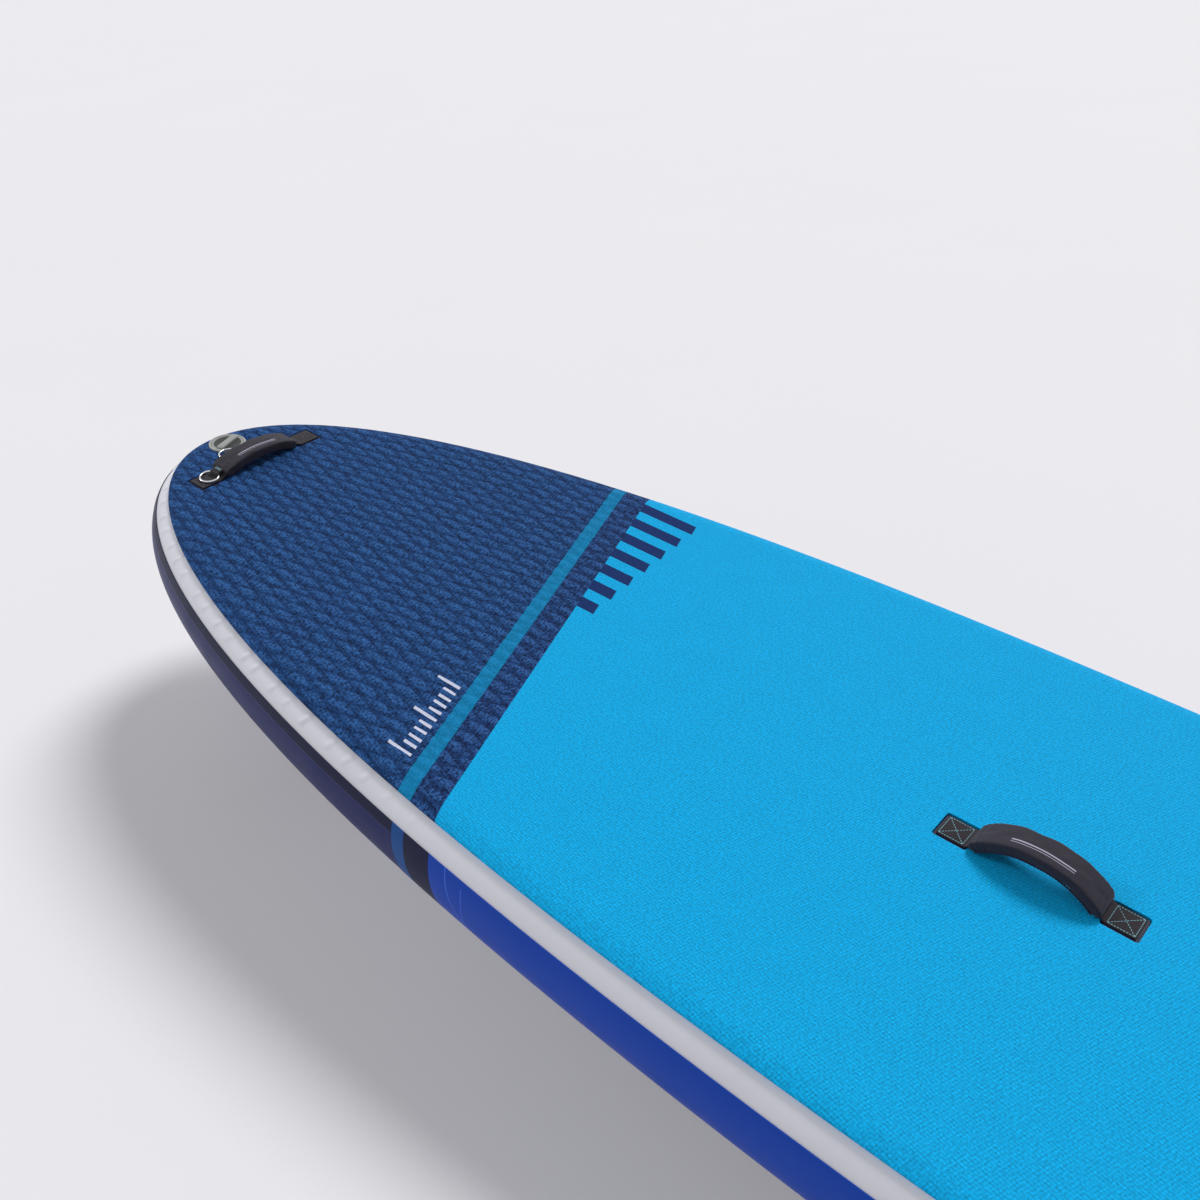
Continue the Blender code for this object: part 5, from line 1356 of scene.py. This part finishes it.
def foil_blade(name, front, chord, depth, thickness, rake, top, tip_share):
    """A fin's blade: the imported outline, with a fine foil and a round tip."""
    round_x, round_y = circle(1.0, 56).T
    along = (round_x - 1) / 2
    bulge = round_y * (1 - FOIL_FULLNESS + FOIL_FULLNESS * round_x)
    tip = 1 - TIP_EDGE * np.cos(np.linspace(0, pi / 2, 9)[1:])
    rings = []
    for share in (*np.linspace(0, 1 - TIP_EDGE, 34), *tip):
        narrowing = (1 - min(share, 1.0) ** OUTLINE_POWER) ** OUTLINE_ROUNDING
        width = chord * (tip_share + (1 - tip_share) * narrowing)
        rounding = max(0.0, (share - TIP_START) / (1 - TIP_START))
        round_width = width * max(0.10, sqrt(1 - rounding ** 2.2))
        lead = front - rake * share ** SWEEP_POWER - (width - round_width) * TIP_LEAN
        into_edge = max(0.0, (share - 1 + TIP_EDGE) / TIP_EDGE)
        half = thickness / 2 * (1 - TIP_THINNING * share) * sqrt(max(0.02, 1 - into_edge ** 2))
        ring = np.stack([lead + round_width * along, half * bulge], axis=1)
        rings.append(np.insert(ring, 2, top - depth * share, axis=1))
    return skin(name, rings)


def block(name, size, centre, corner, eased):
    """A box with upright round corners and eased rims, to join to a blade."""
    length, width, height = size
    outline = np.asarray(rounded_rectangle(length, width, corner))
    levels = []
    for side, insets in ((-1, (eased, 0.3 * eased, 0.0)), (1, (0.0, 0.3 * eased, eased))):
        for inset in insets:
            rise = {eased: 0.0, 0.0: eased}.get(inset, inset)
            scale = np.array([1 - 2 * inset / length, 1 - 2 * inset / width])
            levels.append((outline * scale + centre[:2], centre[2] + side * (height / 2 - rise)))
    return slab(name, levels)


def make_fins():
    """The centre fin and the two side fins with fine blades, and the mound on the bottom."""
    blade = foil_blade("fin_blade", 0.047, 0.155, 0.200, 0.0086, 0.140, FIN_ROOT, 0.16)
    tab_low, tab_top, foot_top = FIN_ROOT - 0.0030, SLOT_TOP - 0.0007, -0.0186 - GAP
    tab = block("fin_tab", (0.120, FIN_TAB_WIDTH, tab_top - tab_low),
                (-0.010, 0, (tab_top + tab_low) / 2), 0.0030, 0.0005)
    foot = block("fin_foot", (0.040, FIN_TAB_WIDTH, foot_top - FIN_ROOT + 0.002),
                 (0.055, 0, (foot_top + FIN_ROOT - 0.002) / 2), 0.0030, 0.0005)
    pin = cylinder_cutter("fin_pin_hole", 0.0024 + GAP, (0, 0, 0), 0.026, 32)
    pin.data.transform(Matrix.Translation((-0.060, 0, TRACK_MIDDLE)) @ Matrix.Rotation(pi / 2, 4, "X"))
    screw = cylinder_cutter("fin_screw_hole", 0.0020 + GAP, (0.063, 0, -0.028), 0.028, 32)
    for other, operation in ((tab, "UNION"), (foot, "UNION"), (pin, "DIFFERENCE"), (screw, "DIFFERENCE")):
        boolean(blade, other, operation)
    box_place = Matrix.Translation((FIN_BOX_X, 0, 0))
    piece(baked(blade), "fin_plastic", "centre_fin", body="fin", angle=30, at=box_place)

    for sign, side in ((1, "left"), (-1, "right")):
        place = (Matrix.Translation((SIDE_FIN_X, sign * SIDE_FIN_Y, 0))
                 @ Matrix.Rotation(-sign * SIDE_FIN_TOE, 4, "Z"))
        flipped = place @ Matrix.Rotation(pi, 4, "X")
        outline, _ = resampled(rounded_rectangle(0.170, 0.058, 0.018, 8), 120)
        patch = sticker("side_glued_" + side, flipped, outline, GAP + SIDE_FIN_PATCH, False)
        piece(patch, "patch", "side_fin_patch_" + side)
        root = -2 * GAP - SIDE_FIN_PATCH - 0.0018
        blade = foil_blade("side_blade_" + side, 0.060, 0.120, 0.105, 0.0075, 0.085, root, 0.18)
        foot = block("side_foot_" + side, (0.142, 0.032, 0.0036), (0, 0, root), 0.012, 0.0009)
        fillet = block("side_fillet_" + side, (0.128, 0.0125, 0.0056), (0, 0, root - 0.0010),
                       0.0060, 0.0018)
        blade = baked(boolean(boolean(blade, foot, "UNION"), fillet, "UNION"))
        piece(blade, "fin_rubber", "side_fin_" + side, at=place)

    squared = circle(1.0, 120)
    squared = np.sign(squared) * np.abs(squared) ** (2 / MOUND_SQUARENESS)
    levels = []
    for turn in np.linspace(0, pi / 2, 13):
        inset = MOUND_SLOPE * (1 - cos(turn))
        levels.append((squared * (MOUND_LENGTH / 2 - inset, MOUND_WIDTH / 2 - inset),
                       -GAP - (MOUND_HEIGHT - GAP) * sin(turn)))
    socket = block("mound_socket", (0.273 + 2 * GAP, 0.026 + 2 * GAP, 2 * MOUND_HEIGHT),
                   (0, 0, -0.0026 + GAP - MOUND_HEIGHT), 0.010, 0.0002)
    mound = baked(boolean(slab("mound", levels), socket))
    piece(mound, "patch", "fin_box_mound", angle=50, at=box_place)


def woven(name, colour, pitch, roughness, depth=0.00012):
    """Woven cloth or webbing: two crossed sets of yarn in the piece's own frame."""
    paint = Graph(name, roughness, specular=0.30)
    paint.surface("Sheen Weight", 0.10)
    weave = paint.math("MAXIMUM", paint.ripple(pitch, 0.35, 1, 0),
                       paint.ripple(pitch * 0.8, 1, -0.12, 0.5))
    colour = paint.shade(linear(colour), weave, 0.72, 1.18)
    paint.colour(paint.shade(colour, paint.noise(60.0, 4.0), 0.82, 1.20))
    paint.bump(weave, depth)
    paint.bump(paint.noise(220.0, 2.0), 0.00010)
    return paint


def grip_cloth():
    """The grips' cloth, with two plain pale lines printed along the top."""
    paint = woven("grip_cloth_paint", (36, 33, 45), 0.0010, 0.82)
    inside = paint.below(paint.math("ABSOLUTE", paint.along(1, 0, 0)), 0.036)
    across = paint.along(0, 1, 0)
    lines = paint.math("MAXIMUM", paint.between(across, -0.0062, -0.0044),
                       paint.between(across, -0.0095, -0.0087))
    paint.print_over(paint.times(inside, lines), GRIP_PRINT)
    return paint


def moulded(name, colour, roughness):
    """Moulded plastic or rubber with a fine spark-eroded grain."""
    paint = Graph(name, roughness)
    paint.colour(paint.shade(linear(colour), paint.noise(90.0, 4.0), 0.90, 1.10))
    paint.surface("Roughness", paint.line(paint.noise(260.0), 0.20, roughness - 0.10))
    paint.bump(paint.noise(1400.0), 0.00004)
    return paint


def cap_plastic():
    """The cap's plastic: dark on its dish floor, paler from just above it on the dish wall, the rim and the
    finger bar.
    """
    paint = Graph("valve_cap_paint", 0.42, specular=0.35)
    height = paint.math("SUBTRACT", paint.along(0, 0, 1), DECK + DISH_FLOOR)
    # Colour by height: dark at the dish floor, fully pale from about 0.9 mm above it.
    above_dish = paint.math("MULTIPLY", height, 1100.0, clamp=True)
    colour = paint.mix(above_dish, linear(CAP_DARK), linear(CAP_PALE))
    paint.colour(paint.shade(colour, paint.noise(90.0, 4.0), 0.90, 1.10))
    paint.bump(paint.noise(1400.0), 0.00004)
    return paint


def steel(name, roughness):
    """Polished steel with faint drawing marks."""
    paint = Graph(name, roughness, 1.0)
    paint.colour(paint.shade(STEEL, paint.noise(120.0, 3.0), 0.92, 1.05))
    paint.surface("Roughness", paint.line(paint.noise(300.0), 0.12, roughness - 0.04))
    paint.bump(paint.noise(900.0), 0.00001)
    return paint


def make_looks():
    """Each look's paint, and the record's slot listed with it."""
    return {
        "white": (pvc("white_vinyl", WHITE), "white_pvc"),
        "navy": (pvc("navy_vinyl", NAVY), "navy_pvc"),
        "rail": (rail_paint(), "navy_pvc"),
        "patch": (pvc("patch_vinyl", (24, 27, 58)), "navy_pvc"),
        "tape": (pvc("tape_vinyl", (196, 198, 204)), None),
        "navy_foam": (ruled_foam(), "navy_foam"),
        # The stripe gets lighter painted shade in its grooves, less grain contrast and a weaker painted
        # highlight on its crowns.
        "teal_foam": (tail_foam("pad_stripe_foam", STRIPE_TEAL, 0.16, 0.22), "teal_foam"),
        "dark_foam": (tail_foam("pad_band_foam", BAND_BLUE), "dark_foam"),
        "cyan_foam": (main_foam(), "cyan_foam"),
        "webbing": (woven("webbing_paint", (34, 29, 36), 0.0014, 0.85, 0.00020), "webbing"),
        "thread": (woven("thread_paint", (146, 208, 222), 0.0006, 0.60), "webbing"),
        "dark_thread": (woven("dark_thread_paint", (76, 86, 96), 0.0006, 0.60), "webbing"),
        "cloth": (woven("base_cloth_paint", (206, 206, 200), 0.0016, 0.90), None),
        "hem": (woven("hem_paint", (22, 20, 46), 0.0008, 0.85), "grip_cloth"),
        "grip": (grip_cloth(), "grip_cloth"),
        "steel": (steel("steel_paint", 0.16), "stainless"),
        "valve_grey": (moulded("valve_grey_paint", (168, 170, 165), 0.42), "valve_grey"),
        "valve_dark": (cap_plastic(), "valve_dark"),
        "guide": (moulded("guide_paint", (104, 106, 104), 0.45), None),
        "rubber": (moulded("rubber_paint", (34, 34, 36), 0.75), None),
        "fin_plastic": (moulded("fin_plastic_paint", (30, 30, 33), 0.38), "fin_plastic"),
        "fin_rubber": (moulded("fin_rubber_paint", (34, 35, 40), 0.60), "fin_rubber"),
    }


def dress_nodes():
    """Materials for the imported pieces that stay."""
    for look, names in (("cloth", ["drop_stitch_core"]), ("tape", ["inner_seam_tape"]),
                        ("rubber", ["valve_gasket", "valve_cap_seal", "valve_seat_seal"]),
                        ("guide", ["valve_guide"]), ("valve_grey", ["valve_nut", "valve_stem"]),
                        ("steel", ["fin_pin", "fin_plate"]),
                        ("fin_plastic", ["fin_box", "fin_screw"])):
        for name in names:
            for each in nodes[name].material_slots:
                each.material = looks[look][0].material


def make_fittings():
    """Everything on the skins: handles, rings, valve and fins."""
    make_handle("tail_handle", level_frame(TAIL_HANDLE_X, 0, pi / 2), LOW_ARCH, LOW_GRIP_HALF,
                "dark_thread")
    make_handle("centre_handle", level_frame(CENTRE_HANDLE_X, 0), HIGH_ARCH, HIGH_GRIP_HALF, "thread")
    make_handle("nose_handle", matrix_of(*NOSE_HANDLE_AXES, NOSE_HANDLE_AT), LOW_ARCH, LOW_GRIP_HALF,
                "dark_thread")
    make_ring("tail_handle_ring", "tail_ring_swing", "tail_ring", 0.00234)
    make_loop("tail_ring_loop", "tail_ring_swing", 0.0105, 0.00329, "tail_handle_ring_loop")
    make_ring("leash_ring", "leash_ring_swing", "leash_ring", 0.0)
    make_loop("leash_ring_loop", "leash_ring_swing", 0.028, -0.0046, "leash_loop")
    outline, _ = resampled(rounded_rectangle(LEASH_PATCH_LENGTH, LEASH_PATCH_WIDTH, 0.003, 5), 60)
    patch = sticker("leash_glued", level_frame(LEASH_PATCH_X, -LEASH_ASIDE), outline,
                    GAP + PATCH_THICKNESS)
    piece(patch, "patch", "leash_patch")
    for name in ("lash_rear_left", "lash_rear_right", "lash_front_left", "lash_front_right"):
        joint = name + "_swing"
        make_ring(name + "_ring", joint, name, 0.00117)
        make_loop(name, joint, 0.020, -0.0026, name + "_loop")
        place = ring_frame(joint) @ Matrix.Translation((0, 0, -LASH_BAR_UP))
        patch = sticker(name + "_glued", place, circle(LASH_PATCH_RADIUS, 72), GAP + LASH_PATCH_THICKNESS)
        piece(patch, "patch", name + "_patch")
    make_valve()
    make_fins()
    dress_nodes()


make_camera()
stage_floor()
light_scene()
looks = make_looks()
make_hull()
make_pads()
make_fittings()
bpy.context.scene.view_settings.view_transform = "Standard"
